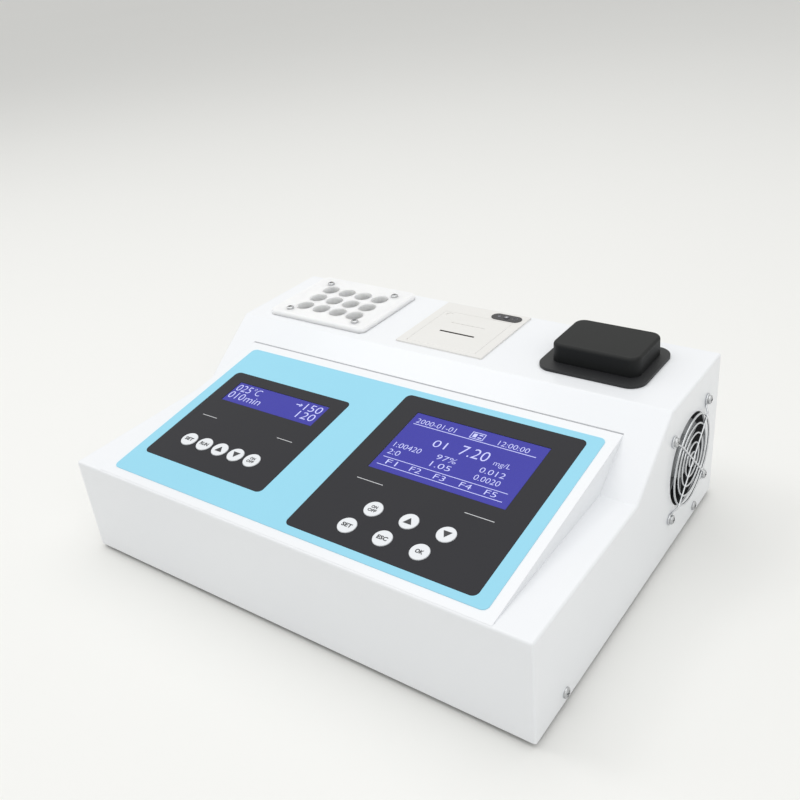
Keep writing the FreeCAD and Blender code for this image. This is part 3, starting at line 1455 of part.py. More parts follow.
def data_port():
    """A square data socket."""
    face = f"({REAR} + port_stand)"
    body = box(
        "port_body", ("port_x - port_width/2", f"{face} - port_depth", f"{REAR_Z} - port_height/2"),
        ("port_width", "port_depth", "port_height"),
    )
    low = f"{REAR_Z} - port_height/2 + port_wall"
    mouth = box(
        "port_hollow", ("port_x - port_width/2 + port_wall", f"{face} - port_mouth", low),
        ("port_width - 2*port_wall", "port_mouth + past", "port_height - 2*port_wall"),
    )
    return node("data_port", cut("data_port", body, [mouth]))


def main_board():
    """The main board on its posts with its larger parts."""
    low = f"({FLOOR} + board_post)"
    high = f"({low} + board_thickness)"
    size = (BOARD_WIDTH, "board_length", "board_thickness")
    pieces = [centred_box("board_plate", (BOARD_X, BOARD_Y), size, low)]
    for fitted in BOARD_PARTS:
        middle = (f"({BOARD_X} + {fitted}_x)", f"({BOARD_Y} + {fitted}_y)")
        size = (f"{fitted}_width", f"{fitted}_length", f"{fitted}_height")
        pieces.append(centred_box(f"board_{fitted}", middle, size, high))
    return node("main_board", join("main_board", pieces))


def power_supply():
    """The power supply's case with its terminal strip."""
    size = (SUPPLY_WIDTH, "supply_length", "supply_height")
    case = centred_box("supply_case", (SUPPLY_X, SUPPLY_Y), size, FLOOR)
    middle = (f"({SUPPLY_X} + {SUPPLY_WIDTH}/2)", SUPPLY_Y)
    size = ("2*supply_step", "supply_length - 2*supply_cheek", "supply_height")
    step = centred_box("supply_notch", middle, size, f"{FLOOR} + supply_shelf")
    middle = (f"({SUPPLY_X} + {SUPPLY_WIDTH}/2 - terminal_inset - terminal_width/2)", SUPPLY_Y)
    size = ("terminal_width", "supply_length - 2*terminal_end", "terminal_height + overlap")
    strip = centred_box("supply_terminals", middle, size, f"{FLOOR} + supply_shelf - overlap")
    return node("power_supply", join("power_supply", [cut("supply_cut", case, [step]), strip]))


def heater_relay():
    """The solid state relay that switches the heater."""
    size = ("relay_width", "relay_length", "relay_height")
    body = centred_box("relay_body", (RELAY_X, RELAY_Y), size, FLOOR)
    size = ("2*relay_step", "relay_length - 2*relay_cheek", "relay_height")
    notches = []
    for sign in "-+":
        middle = (f"({RELAY_X} {sign} relay_width/2)", RELAY_Y)
        notches.append(centred_box("relay_notch", middle, size, f"{FLOOR} + relay_shelf"))
    return node("heater_relay", cut("heater_relay", body, notches))


def build():
    """Model every sub-part."""
    base_tray()
    hood()
    rear_panel()
    casing_screws()
    rubber_feet()
    console_cover()
    panel_overlay()
    for side in ("digester", "meter"):
        keypad(side)
        display(side)
        key_board(side)
        keys(side)
    digestion_plate()
    plate_screws()
    heating_block()
    heater_pad()
    block_sensor()
    insulation_jacket()
    block_stand()
    cuvette_seat()
    light_seal()
    cuvette_lid()
    lid_pin()
    cuvette_holder()
    optics_board("lamp_board", "-")
    optics_board("detector_board", "+")
    printer_bezel()
    printer_door()
    door_pin()
    printer_pod()
    feed_button()
    printer_mechanism()
    platen_roller()
    paper_roll()
    fan_frame()
    fan_rotor()
    fan_guard()
    fan_screws()
    power_inlet()
    fuse_drawer()
    switch_frame()
    power_rocker()
    data_port()
    main_board()
    power_supply()
    heater_relay()
    doc.recompute()


def check():
    """Stop if any object failed or any sub-part has a missing or bad shape."""
    failed = [item.Label for item in doc.Objects if {"Invalid", "Error"} & set(item.State)]
    bad = [name for name, thing in NODES.items() if thing.Shape.isNull() or not thing.Shape.isValid()]
    if failed or bad:
        raise SystemExit(f"failed: {failed}, bad shapes: {bad}")


def export():
    """Write each sub-part to its own file."""
    os.makedirs("parts", exist_ok=True)
    for name, thing in NODES.items():
        thing.Shape.exportStep(f"parts/{name}.step")
        bounds = thing.Shape.BoundBox
        print(f"{name:22} solids {len(thing.Shape.Solids)}  volume {thing.Shape.Volume:12.1f}  "
              f"X {bounds.XMin:8.2f} {bounds.XMax:8.2f}  Y {bounds.YMin:8.2f} {bounds.YMax:8.2f}  "
              f"Z {bounds.ZMin:8.2f} {bounds.ZMax:8.2f}")


build()
check()
export()
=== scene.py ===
"""A bench water quality analyzer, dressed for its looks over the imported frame."""

import json
import logging
import math
from dataclasses import dataclass
from enum import Enum
from typing import Callable, Iterable, Optional, Sequence

import bmesh
import bpy
from mathutils import Matrix, Vector

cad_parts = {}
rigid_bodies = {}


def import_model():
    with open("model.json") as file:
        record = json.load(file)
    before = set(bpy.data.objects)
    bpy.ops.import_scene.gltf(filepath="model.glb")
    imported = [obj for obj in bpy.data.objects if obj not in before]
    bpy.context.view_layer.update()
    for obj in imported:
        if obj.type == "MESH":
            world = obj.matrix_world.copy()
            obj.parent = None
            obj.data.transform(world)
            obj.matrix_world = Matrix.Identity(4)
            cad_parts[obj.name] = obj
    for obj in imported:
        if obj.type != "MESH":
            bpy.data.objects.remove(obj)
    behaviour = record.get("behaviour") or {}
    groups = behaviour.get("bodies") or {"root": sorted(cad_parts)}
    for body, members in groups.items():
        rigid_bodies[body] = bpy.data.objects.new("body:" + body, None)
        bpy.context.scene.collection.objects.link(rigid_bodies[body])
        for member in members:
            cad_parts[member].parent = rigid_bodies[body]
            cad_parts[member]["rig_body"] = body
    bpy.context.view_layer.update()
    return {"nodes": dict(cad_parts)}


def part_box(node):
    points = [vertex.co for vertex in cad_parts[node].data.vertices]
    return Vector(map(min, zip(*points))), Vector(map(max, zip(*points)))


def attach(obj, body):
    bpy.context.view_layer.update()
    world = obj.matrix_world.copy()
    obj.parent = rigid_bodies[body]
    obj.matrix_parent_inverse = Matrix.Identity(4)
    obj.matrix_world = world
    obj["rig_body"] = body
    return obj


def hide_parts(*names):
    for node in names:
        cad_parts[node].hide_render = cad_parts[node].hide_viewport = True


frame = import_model()
log = logging.getLogger("analyzer")
MM = 0.001

Point = tuple[float, float, float]
Spot = tuple[float, float]
Placer = Callable[[float, float, float], Point]


def add(tree: bpy.types.NodeTree, kind: str, inputs: Optional[dict] = None, **settings) -> bpy.types.Node:
    """Adds one node with its settings, values and links.

    Args:
        tree: The shader or geometry tree that gets the node.
        kind: The node's type name.
        inputs: Socket name or number to a value, or to a socket that feeds it.
        settings: The node's own properties.

    Returns:
        The new node.
    """
    node = tree.nodes.new(kind)
    for key, value in settings.items():
        setattr(node, key, value)
    for key, value in (inputs or {}).items():
        if isinstance(value, bpy.types.NodeSocket):
            tree.links.new(value, node.inputs[key])
        else:
            node.inputs[key].default_value = value
    return node


def linear(code: str) -> tuple[float, float, float, float]:
    """Turns an sRGB hex colour to linear values.

    Args:
        code: Six hex digits after a hash sign.

    Returns:
        Red, green, blue and alpha.
    """
    parts = [int(code[start:start + 2], 16)/255 for start in (1, 3, 5)]
    return (*(part/12.92 if part <= 0.04045 else ((part + 0.055)/1.055)**2.4 for part in parts), 1.0)


@dataclass(frozen=True)
class Surface:
    """The finish of one real material, with patterns sized in millimetres.

    The colour wanders between two tones over the mottle size, and the relief rises and falls over
    the grain size, drawn out along the axes where the surface was brushed or rolled.
    """

    name: str
    colour: str
    tone: str
    mottle: float
    grain: float
    relief: float
    roughness: float
    swing: float = 0.04
    metallic: float = 0.0
    drawn: Point = (1.0, 1.0, 1.0)
    coat: float = 0.0
    coat_roughness: float = 0.1
    glow: float = 0.0
    index: float = 1.5
    depth: float = 0.0

    def base(self, tree: bpy.types.NodeTree, where: bpy.types.NodeSocket) -> bpy.types.NodeSocket:
        """Mixes the two tones over the mottle.

        Args:
            tree: The material's tree.
            where: The object coordinates.

        Returns:
            The colour's socket.
        """
        slow = add(tree, "ShaderNodeTexNoise", {"Vector": where, "Scale": 1/(self.mottle*MM), "Detail": 3.0})
        mixed = add(
            tree, "ShaderNodeMix", {"Factor": slow.outputs[0], 6: linear(self.colour), 7: linear(self.tone)},
            data_type="RGBA",
        )
        return mixed.outputs[2]

    def material(self) -> bpy.types.Material:
        """Builds the material once and hands it out after that."""
        known = bpy.data.materials.get(self.name)
        if known:
            return known
        made = bpy.data.materials.new(self.name)
        made.use_nodes = True
        tree = made.node_tree
        tree.nodes.clear()
        where = add(tree, "ShaderNodeTexCoord").outputs["Object"]
        lie = add(tree, "ShaderNodeMapping", {"Vector": where, "Scale": self.drawn})
        fine = add(
            tree, "ShaderNodeTexNoise",
            {"Vector": lie.outputs[0], "Scale": 1/(self.grain*MM), "Detail": 2.0, "Roughness": 0.55},
        )
        bump = add(
            tree, "ShaderNodeBump",
            {"Height": fine.outputs[0], "Strength": 1.0, "Distance": self.relief*MM},
        )
        rough = add(
            tree, "ShaderNodeMapRange",
            {"Value": fine.outputs[0], "To Min": self.roughness - self.swing, "To Max": self.roughness + self.swing},
        )
        colour = self.base(tree, where)
        inputs = {
            "Base Color": colour, "Roughness": rough.outputs[0], "Normal": bump.outputs[0],
            "Metallic": self.metallic, "Coat Weight": self.coat, "Coat Roughness": self.coat_roughness,
        }
        if not self.metallic:
            inputs["IOR"] = self.index
        if self.depth:
            inputs["Subsurface Weight"] = 1.0
            inputs["Subsurface Radius"] = (1.0, 1.0, 0.97)
            inputs["Subsurface Scale"] = self.depth*MM
        if self.glow:
            inputs["Emission Color"] = colour
            inputs["Emission Strength"] = self.glow
        shader = add(tree, "ShaderNodeBsdfPrincipled", inputs)
        add(tree, "ShaderNodeOutputMaterial", {"Surface": shader.outputs[0]})
        return made


@dataclass(frozen=True)
class CellSurface(Surface):
    """A finish ruled into square cells, such as a liquid crystal or a tracked board."""

    cell: float = 1.0
    line: float = 0.06
    line_tone: str = "#000000"
    tilt: float = 0.0

    def base(self, tree: bpy.types.NodeTree, where: bpy.types.NodeSocket) -> bpy.types.NodeSocket:
        """Lays the lines between cells over the mottled colour.

        Args:
            tree: The material's tree.
            where: The object coordinates.

        Returns:
            The colour's socket.
        """
        plain = super().base(tree, where)
        level = add(tree, "ShaderNodeMapping", {"Vector": where, "Rotation": (-math.radians(self.tilt), 0, 0)})
        cells = add(
            tree, "ShaderNodeTexBrick",
            {
                "Vector": level.outputs[0], "Color1": (1, 1, 1, 1), "Color2": (1, 1, 1, 1),
                "Mortar": (0, 0, 0, 1), "Scale": 1/MM, "Mortar Size": self.line*self.cell,
                "Mortar Smooth": 0.2, "Brick Width": self.cell, "Row Height": self.cell,
            },
            offset=0.0,
        )
        mixed = add(
            tree, "ShaderNodeMix", {"Factor": cells.outputs["Fac"], 6: plain, 7: linear(self.line_tone)},
            data_type="RGBA",
        )
        return mixed.outputs[2]


@dataclass(frozen=True)
class RingSurface(Surface):
    """A finish in fine rings about an axis along X, such as the end of a wound roll."""

    ring: float = 0.8
    middle: Point = (0.0, 0.0, 0.0)

    def base(self, tree: bpy.types.NodeTree, where: bpy.types.NodeSocket) -> bpy.types.NodeSocket:
        """Rules the two tones as rings about the roll's middle.

        Args:
            tree: The material's tree.
            where: The object coordinates.

        Returns:
            The colour's socket.
        """
        place = tuple(-part*MM for part in self.middle)
        moved = add(tree, "ShaderNodeMapping", {"Vector": where, "Location": place})
        rings = add(
            tree, "ShaderNodeTexWave", {"Vector": moved.outputs[0], "Scale": 0.314/(self.ring*MM), "Distortion": 0.4},
            wave_type="RINGS", rings_direction="X",
        )
        mixed = add(
            tree, "ShaderNodeMix", {"Factor": rings.outputs[1], 6: linear(self.colour), 7: linear(self.tone)},
            data_type="RGBA",
        )
        return mixed.outputs[2]


TILT = 8.4256

# Powder coat on sheet steel: a soft gloss over the faint orange peel of the baked powder
CASING = Surface("powder_coated_steel", "#F2F4F6", "#EEF0F3", 90, 2.4, 0.012, 0.30, 0.03, coat=0.15)
# Tray steel coloured near black as painted shade: dull and dark, so that the gap under the casing reads as a dark
# shadow line
TRAY_SHADE = Surface("tray_painted_shade_black", "#1A1B1D", "#232427", 12, 1.2, 0.02, 0.55, 0.05)
# Zinc plated steel bracket: cool grey with the spangle of the bath
BRACKET = Surface("zinc_plated_steel", "#B9BCC0", "#A6AAB0", 9, 1.6, 0.01, 0.42, 0.06, 1.0)
# Nickel plated screws: bright, with drawn marks from heading
SCREW = Surface("nickel_plated_screw", "#C8C9CB", "#B4B6B9", 2, 0.6, 0.01, 0.26, 0.05, 1.0)
# Moulded rubber: dead matt black that greys with dust
FOOT = Surface("moulded_rubber", "#1D1D1E", "#29292A", 6, 0.9, 0.05, 0.82)
# Screen printed polycarbonate film: an even ink under a velvet textured face, which scatters so much
# that it shines less than its index says; its grain is drawn coarser than real
OVERLAY = Surface("printed_film_light_blue", "#9AD9EE", "#96D5EB", 70, 0.9, 0.006, 0.46, 0.05, index=1.36)
KEYPAD = Surface("printed_film_charcoal", "#2F2F33", "#2C2C30", 60, 0.9, 0.008, 0.5, 0.05, index=1.26)
PRINT = Surface("printed_ink_pale_grey", "#D9DADC", "#D2D3D6", 20, 0.9, 0.003, 0.45)
# Backlit liquid crystal under acrylic: violet blue that shines from within, cells drawn at twice
# their real pitch so that they show
SCREEN = CellSurface(
    "backlit_liquid_crystal", "#3C3BA0", "#393899", 60, 1.2, 0.001, 0.3, 0.02, glow=0.15,
    index=1.3, cell=0.9, line=0.05, line_tone="#333290", tilt=TILT,
)
LIT = Surface("lit_liquid_crystal_dots", "#C3C6F2", "#BBBFEC", 20, 1.2, 0.001, 0.35, 0.02, glow=0.25, index=1.3)
# Moulded ABS key caps: clean white with a satin skin from a spark eroded mould
KEYCAP = Surface("moulded_abs_white", "#EAEDF0", "#E5E8EC", 12, 0.7, 0.01, 0.34, 0.05, index=1.54)
LEGEND = Surface("pad_printed_ink_dark", "#2C2D30", "#34353A", 5, 0.6, 0.002, 0.4)
# Machined PTFE plate: waxy white, light soaks some millimetres in, so that its holes stay pale
PLATE = Surface("machined_ptfe", "#F6F7F6", "#F1F2F2", 25, 1.2, 0.015, 0.36, 0.06, index=1.38, depth=6.0)
# Hard anodised aluminium block: grey black, faintly streaked by the mill
BLOCK = Surface("hard_anodised_aluminium", "#3A3B3D", "#303133", 12, 0.8, 0.02, 0.45, 0.08, 0.4, drawn=(1, 12, 1))
# Silicone rubber heater mat: brick red, with the weave of its glass cloth
HEATER = CellSurface("silicone_heater_mat", "#A3402F", "#97392A", 14, 1.2, 0.03, 0.6, cell=1.6, line=0.08, line_tone="#84301F")
# Pressed ceramic fibre: chalky, soft and matted
JACKET = Surface("ceramic_fibre_board", "#E2DED2", "#D3CDBE", 7, 1.1, 0.25, 0.93, drawn=(1, 1, 3))
# Moulded ABS in matt black with an etched grain
LID = Surface("moulded_abs_black", "#101213", "#141617", 22, 0.8, 0.03, 0.52, 0.06, index=1.34)
SEAT = Surface("moulded_nylon_black", "#1F2022", "#252628", 18, 0.9, 0.03, 0.52, 0.05, index=1.46)
SEAL = Surface("foam_rubber", "#1A1A1B", "#222223", 3, 0.7, 0.3, 0.95)
HOLDER = Surface("black_anodised_aluminium", "#242527", "#2B2C2F", 10, 0.5, 0.01, 0.38, 0.05, 1.0)
# Moulded ABS in a warm light grey: the printer's face
PRINTER = Surface("moulded_abs_warm_grey", "#E9E8E5", "#E5E4E0", 30, 0.8, 0.015, 0.38, 0.05, index=1.54)
# Painted shade in the paper slot: its walls coloured a dull dark brown so that the slot reads as a dark line
SLOT_SHADE = Surface("paper_slot_painted_shade", "#3B322B", "#30291F", 3, 0.6, 0.01, 0.5, 0.05)
# Gloss acrylic: deep, dark and mirror smooth
POD = Surface("gloss_acrylic_smoke", "#26252B", "#222127", 20, 2.0, 0.002, 0.08, 0.02, index=1.49)
LAMP_OFF = Surface("diffused_epoxy_lamp", "#6B6C76", "#74757F", 2, 1.0, 0.004, 0.25)
BUTTON = Surface("moulded_abs_grey", "#54545A", "#5A5A60", 5, 0.6, 0.01, 0.36)
# Stamped steel of the print mechanism, with rolling marks
MECHANISM = Surface("rolled_steel_sheet", "#A7A9AC", "#989A9E", 10, 0.8, 0.01, 0.38, 0.08, 1.0, drawn=(8, 1, 1))
PLATEN = Surface("ground_silicone_rubber", "#2B2B2D", "#333335", 4, 0.6, 0.02, 0.7)
PAPER = RingSurface("thermal_paper", "#F6F5F1", "#E9E7E1", 6, 0.6, 0.01, 0.62, ring=0.8, middle=(0, 127, 100.5))
# Glass filled PBT of the fan: its frame black, its rotor a dusty mid grey, both with a faint flow bloom
FAN = Surface("moulded_pbt_black", "#1F2021", "#262728", 16, 0.9, 0.03, 0.5, 0.06, index=1.57)
ROTOR = Surface("moulded_pbt_grey", "#A3A6A8", "#989B9D", 9, 0.9, 0.03, 0.45, 0.06, index=1.57)
# Bright nickel chrome over drawn wire
CHROME = Surface("chrome_plated_wire", "#D5D7DA", "#CBCDD1", 5, 1.0, 0.002, 0.12, 0.03, 1.0)
INLET = Surface("moulded_nylon_inlet", "#1E1F20", "#252627", 14, 0.8, 0.03, 0.48, index=1.53)
CONTACT = Surface("nickel_plated_brass", "#CFC8B4", "#C3BBA4", 3, 0.6, 0.006, 0.24, 0.04, 1.0)
PORT = Surface("tin_plated_steel", "#BFC1C3", "#B1B3B6", 4, 0.8, 0.006, 0.3, 0.06, 1.0)
# Solder masked glass epoxy: green gloss ruled by copper tracks
BOARD = CellSurface(
    "solder_masked_board", "#1E6138", "#1A5531", 8, 0.8, 0.01, 0.3, cell=5.08, line=0.09, line_tone="#2C7C49",
)
SUPPLY = Surface("bare_aluminium_sheet", "#B4B6B8", "#A9ABAE", 14, 0.7, 0.01, 0.36, 0.07, 1.0, drawn=(1, 9, 1))
RELAY = Surface("moulded_polyester_cream", "#DED6BC", "#D6CDB0", 15, 0.9, 0.02, 0.45)
FLOOR = Surface("matt_table_laminate", "#F3F3F0", "#F0F0ED", 900, 3.0, 0.004, 0.6)


def fresh(name: str, mesh: bpy.types.Mesh) -> bpy.types.Object:
    """Makes an object at the origin from a mesh whose place is in its vertices."""
    made = bpy.data.objects.new(name, mesh)
    bpy.context.scene.collection.objects.link(made)
    return made


def baked(made: bpy.types.Object) -> bpy.types.Object:
    """Turns an object's modifiers into a plain mesh.

    Args:
        made: The object with its modifiers.

    Returns:
        The same object, with a plain mesh and no modifier.
    """
    evaluated = made.evaluated_get(bpy.context.evaluated_depsgraph_get())
    made.data = bpy.data.meshes.new_from_object(evaluated)
    made.modifiers.clear()
    return made


def given(made: bpy.types.Object, body: str, slot: str, *nodes: str) -> bpy.types.Object:
    """Hands a finished piece to its body and hides the nodes that it stands for.

    Args:
        made: The finished piece.
        body: The body that it moves with.
        slot: The record's material slot; not used.
        nodes: The nodes that it replaces.

    Returns:
        The piece.
    """
    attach(made, body)
    if nodes:
        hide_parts(*nodes)
    log.info("%s: %d faces on %s", made.name, len(made.data.polygons), body)
    return made


def home(node: str) -> str:
    """Names the body that carries a node."""
    return frame["nodes"][node]["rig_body"]


@dataclass(frozen=True)
class Patch:
    """A second finish on the faces of a copied node whose middles lie in a box, in millimetres."""

    surface: Surface
    low: Point
    high: Point

    def holds(self, middle: Vector) -> bool:
        """Says whether a face's middle lies in the box."""
        return all(low*MM <= at <= high*MM for low, at, high in zip(self.low, middle, self.high))


def softened(node: str, surface: Surface, slot: str, edge: float = 0.2,
             patches: Sequence[Patch] = (), sharp: float = 38.0, flat: float = 0.4) -> bpy.types.Object:
    """Copies a node with its edges broken as a real maker's are, and replaces it.

    Args:
        node: The node to copy.
        surface: Its main finish.
        slot: The record's material slot.
        edge: Width of the broken edges in millimetres.
        patches: Other finishes on parts of it.
        sharp: Angle in degrees from which an edge counts as sharp.
        flat: Angle in degrees up to which neighbouring faces are made one.

    Returns:
        The piece.
    """
    mesh = frame["nodes"][node].data.copy()
    shape = bmesh.new()
    shape.from_mesh(mesh)
    bmesh.ops.remove_doubles(shape, verts=shape.verts, dist=2e-6)
    bmesh.ops.dissolve_limit(
        shape, angle_limit=math.radians(flat), verts=shape.verts, edges=shape.edges, use_dissolve_boundaries=False,
    )
    for face in shape.faces:
        face.smooth = True
    shape.to_mesh(mesh)
    shape.free()
    mesh.materials.clear()
    made = fresh(f"{node}_finished", mesh)
    if edge:
        bevel = made.modifiers.new("edge", "BEVEL")
        bevel.width = edge*MM
        bevel.segments = 2
        bevel.limit_method = "ANGLE"
        bevel.angle_limit = math.radians(sharp)
        bevel.use_clamp_overlap = True
        baked(made)
    made.data.set_sharp_from_angle(angle=math.radians(60 if edge else sharp))
    level = made.modifiers.new("level", "WEIGHTED_NORMAL")
    level.keep_sharp = True
    level.weight = 100
    baked(made)
    made.data.materials.clear()
    made.data.materials.append(surface.material())
    for number, patch in enumerate(patches, start=1):
        made.data.materials.append(patch.surface.material())
        for face in made.data.polygons:
            if patch.holds(face.center):
                face.material_index = number
    return given(made, home(node), slot, node)


def repainted(surface: Surface, *nodes: str) -> None:
    """Gives nodes that keep their own shape a finish."""
    for node in nodes:
        for slot in frame["nodes"][node].material_slots:
            slot.material = surface.material()


class Shape:
    """A mesh in the making, in millimetres, with numbered finishes."""

    def __init__(self, *surfaces: Surface) -> None:
        """Starts an empty mesh with its finishes in order."""
        self.mesh = bmesh.new()
        self.surfaces = surfaces

    def polygon(self, points: Iterable[Point], finish: int = 0) -> None:
        """Adds one flat face from its corners, counter-clockwise from outside."""
        face = self.mesh.faces.new([self.mesh.verts.new(point) for point in points])
        face.material_index = finish

    def plate(self, outline: Sequence[Spot], low: float, high: float, place: Placer, finish: int = 0) -> None:
        """Adds a flat plate with straight walls over an outline.

        Args:
            outline: Corners, counter-clockwise from above.
            low: Height of its underside.
            high: Height of its top.
            place: Where a local point goes.
            finish: The finish's number.
        """
        lower = [self.mesh.verts.new(place(x, y, low)) for x, y in outline]
        upper = [self.mesh.verts.new(place(x, y, high)) for x, y in outline]
        count = len(outline)
        faces = [self.mesh.faces.new(upper), self.mesh.faces.new(lower[::-1])]
        for at in range(count):
            after = (at + 1) % count
            faces.append(self.mesh.faces.new((lower[at], lower[after], upper[after], upper[at])))
        for face in faces:
            face.material_index = finish

    def lathe(self, profile: Sequence[Spot], place: Placer, steps: int = 48, finish: int = 0) -> None:
        """Turns a profile of radius and height about the local upright axis.

        Args:
            profile: Radius and height from the bottom up, each end on the axis or open.
            place: Where a local point goes.
            steps: Faces around.
            finish: The finish's number.
        """
        rings = []
        for radius, height in profile:
            if radius < 1e-6:
                rings.append([self.mesh.verts.new(place(0, 0, height))])
                continue
            turns = [2*math.pi*step/steps for step in range(steps)]
            rings.append([
                self.mesh.verts.new(place(radius*math.cos(turn), radius*math.sin(turn), height)) for turn in turns
            ])
        for lower, upper in zip(rings, rings[1:]):
            for at in range(steps):
                after = (at + 1) % steps
                corners = [lower[at % len(lower)], lower[after % len(lower)],
                           upper[after % len(upper)], upper[at % len(upper)]]
                unique = list(dict.fromkeys(corners))
                if len(unique) > 2:
                    face = self.mesh.faces.new(unique)
                    face.material_index = finish
                    face.smooth = True

    def lettering(self, words: str, box: tuple[float, float, float, float], height: float,
                  place: Placer, finish: int = 0, weight: float = 0.0) -> None:
        """Writes flat figures or letters that fill a box.

        Args:
            words: What is written.
            box: Left, right, lower and upper edge of the writing.
            height: Height above the local plane.
            place: Where a local point goes.
            finish: The finish's number.
            weight: How much each stroke grows, as a share of the letters' size.
        """
        curve = bpy.data.curves.new("writing", "FONT")
        curve.body = words
        curve.offset = weight
        curve.resolution_u = 3
        writer = fresh("writing", curve)
        bpy.context.view_layer.update()
        flat = bpy.data.meshes.new_from_object(writer.evaluated_get(bpy.context.evaluated_depsgraph_get()))
        bpy.data.objects.remove(writer)
        spans = [[corner.co[axis] for corner in flat.vertices] for axis in (0, 1)]
        (left, right), (low, top) = [(min(span), max(span)) for span in spans]
        wide, tall = (box[1] - box[0])/(right - left), (box[3] - box[2])/(top - low)
        corners = [
            self.mesh.verts.new(place(box[0] + (corner.co.x - left)*wide, box[2] + (corner.co.y - low)*tall, height))
            for corner in flat.vertices
        ]
        for face in flat.polygons:
            ring = [corners[at] for at in face.vertices]
            if face.normal.z < 0:
                ring.reverse()
            self.mesh.faces.new(ring).material_index = finish
        bpy.data.meshes.remove(flat)

    def made(self, name: str, sharp: float = 40.0) -> bpy.types.Object:
        """Closes the mesh, in metres, with its finishes.

        Args:
            name: The piece's name.
            sharp: Angle in degrees from which an edge is shown sharp.

        Returns:
            The piece, at the origin.
        """
        bmesh.ops.scale(self.mesh, vec=(MM, MM, MM), verts=self.mesh.verts)
        mesh = bpy.data.meshes.new(name)
        self.mesh.to_mesh(mesh)
        self.mesh.free()
        mesh.set_sharp_from_angle(angle=math.radians(sharp))
        for surface in self.surfaces:
            mesh.materials.append(surface.material())
        return fresh(name, mesh)


def upright(x: float, y: float, z: float) -> Placer:
    """Places local points above a spot, with their height along Z."""
    return lambda a, b, h: (x + a, y + b, z + h)


def across(x: float, y: float, z: float) -> Placer:
    """Places local points about an axis along X, as a roller lies."""
    return lambda a, b, h: (x + h, y + a, z + b)


class Tree:
    """A geometry tree with named inputs that ends in Realize Instances and Set Material."""

    def __init__(self, name: str, **sizes: float) -> None:
        """Starts a tree.

        Args:
            name: The tree's name.
            sizes: Named inputs with their values, whole numbers or lengths in metres.
        """
        self.tree = bpy.data.node_groups.new(name, "GeometryNodeTree")
        face = self.tree.interface
        face.new_socket("Geometry", in_out="INPUT", socket_type="NodeSocketGeometry")
        face.new_socket("Geometry", in_out="OUTPUT", socket_type="NodeSocketGeometry")
        self.sizes = {}
        for word, size in sizes.items():
            kind = "NodeSocketInt" if isinstance(size, int) else "NodeSocketFloat"
            self.sizes[face.new_socket(word, in_out="INPUT", socket_type=kind).identifier] = size
        self.inputs = self.add("NodeGroupInput").outputs

    def add(self, kind: str, inputs: Optional[dict] = None, **settings) -> bpy.types.Node:
        """Adds a node to this tree, as add does."""
        return add(self.tree, kind, inputs, **settings)

    def math(self, operation: str, *values) -> bpy.types.NodeSocket:
        """Adds one sum of values and sockets and hands out its result."""
        return self.add("ShaderNodeMath", dict(enumerate(values)), operation=operation).outputs[0]

    def run(self, start: bpy.types.Object, result: bpy.types.NodeSocket, surface: Surface) -> bpy.types.Object:
        """Closes the tree, runs it on an object and bakes it.

        Args:
            start: The object whose mesh the tree reads.
            result: The socket with the finished geometry.
            surface: The finish of all that the tree makes.

        Returns:
            The object as a plain mesh.
        """
        real = self.add("GeometryNodeRealizeInstances", {"Geometry": result})
        smooth = self.add("GeometryNodeSetShadeSmooth", {"Geometry": real.outputs[0]})
        dressed = self.add(
            "GeometryNodeSetMaterial", {"Geometry": smooth.outputs[0], "Material": surface.material()},
        )
        self.add("NodeGroupOutput", {"Geometry": dressed.outputs[0]})
        modifier = start.modifiers.new("made", "NODES")
        modifier.node_group = self.tree
        for identifier, size in self.sizes.items():
            modifier[identifier] = size
        baked(start)
        start.data.set_sharp_from_angle(angle=math.radians(40))
        return start


class Recess(Enum):
    """The drive of a screw's head, as the share of its radius that each arm is wide."""

    CROSS = 0.26


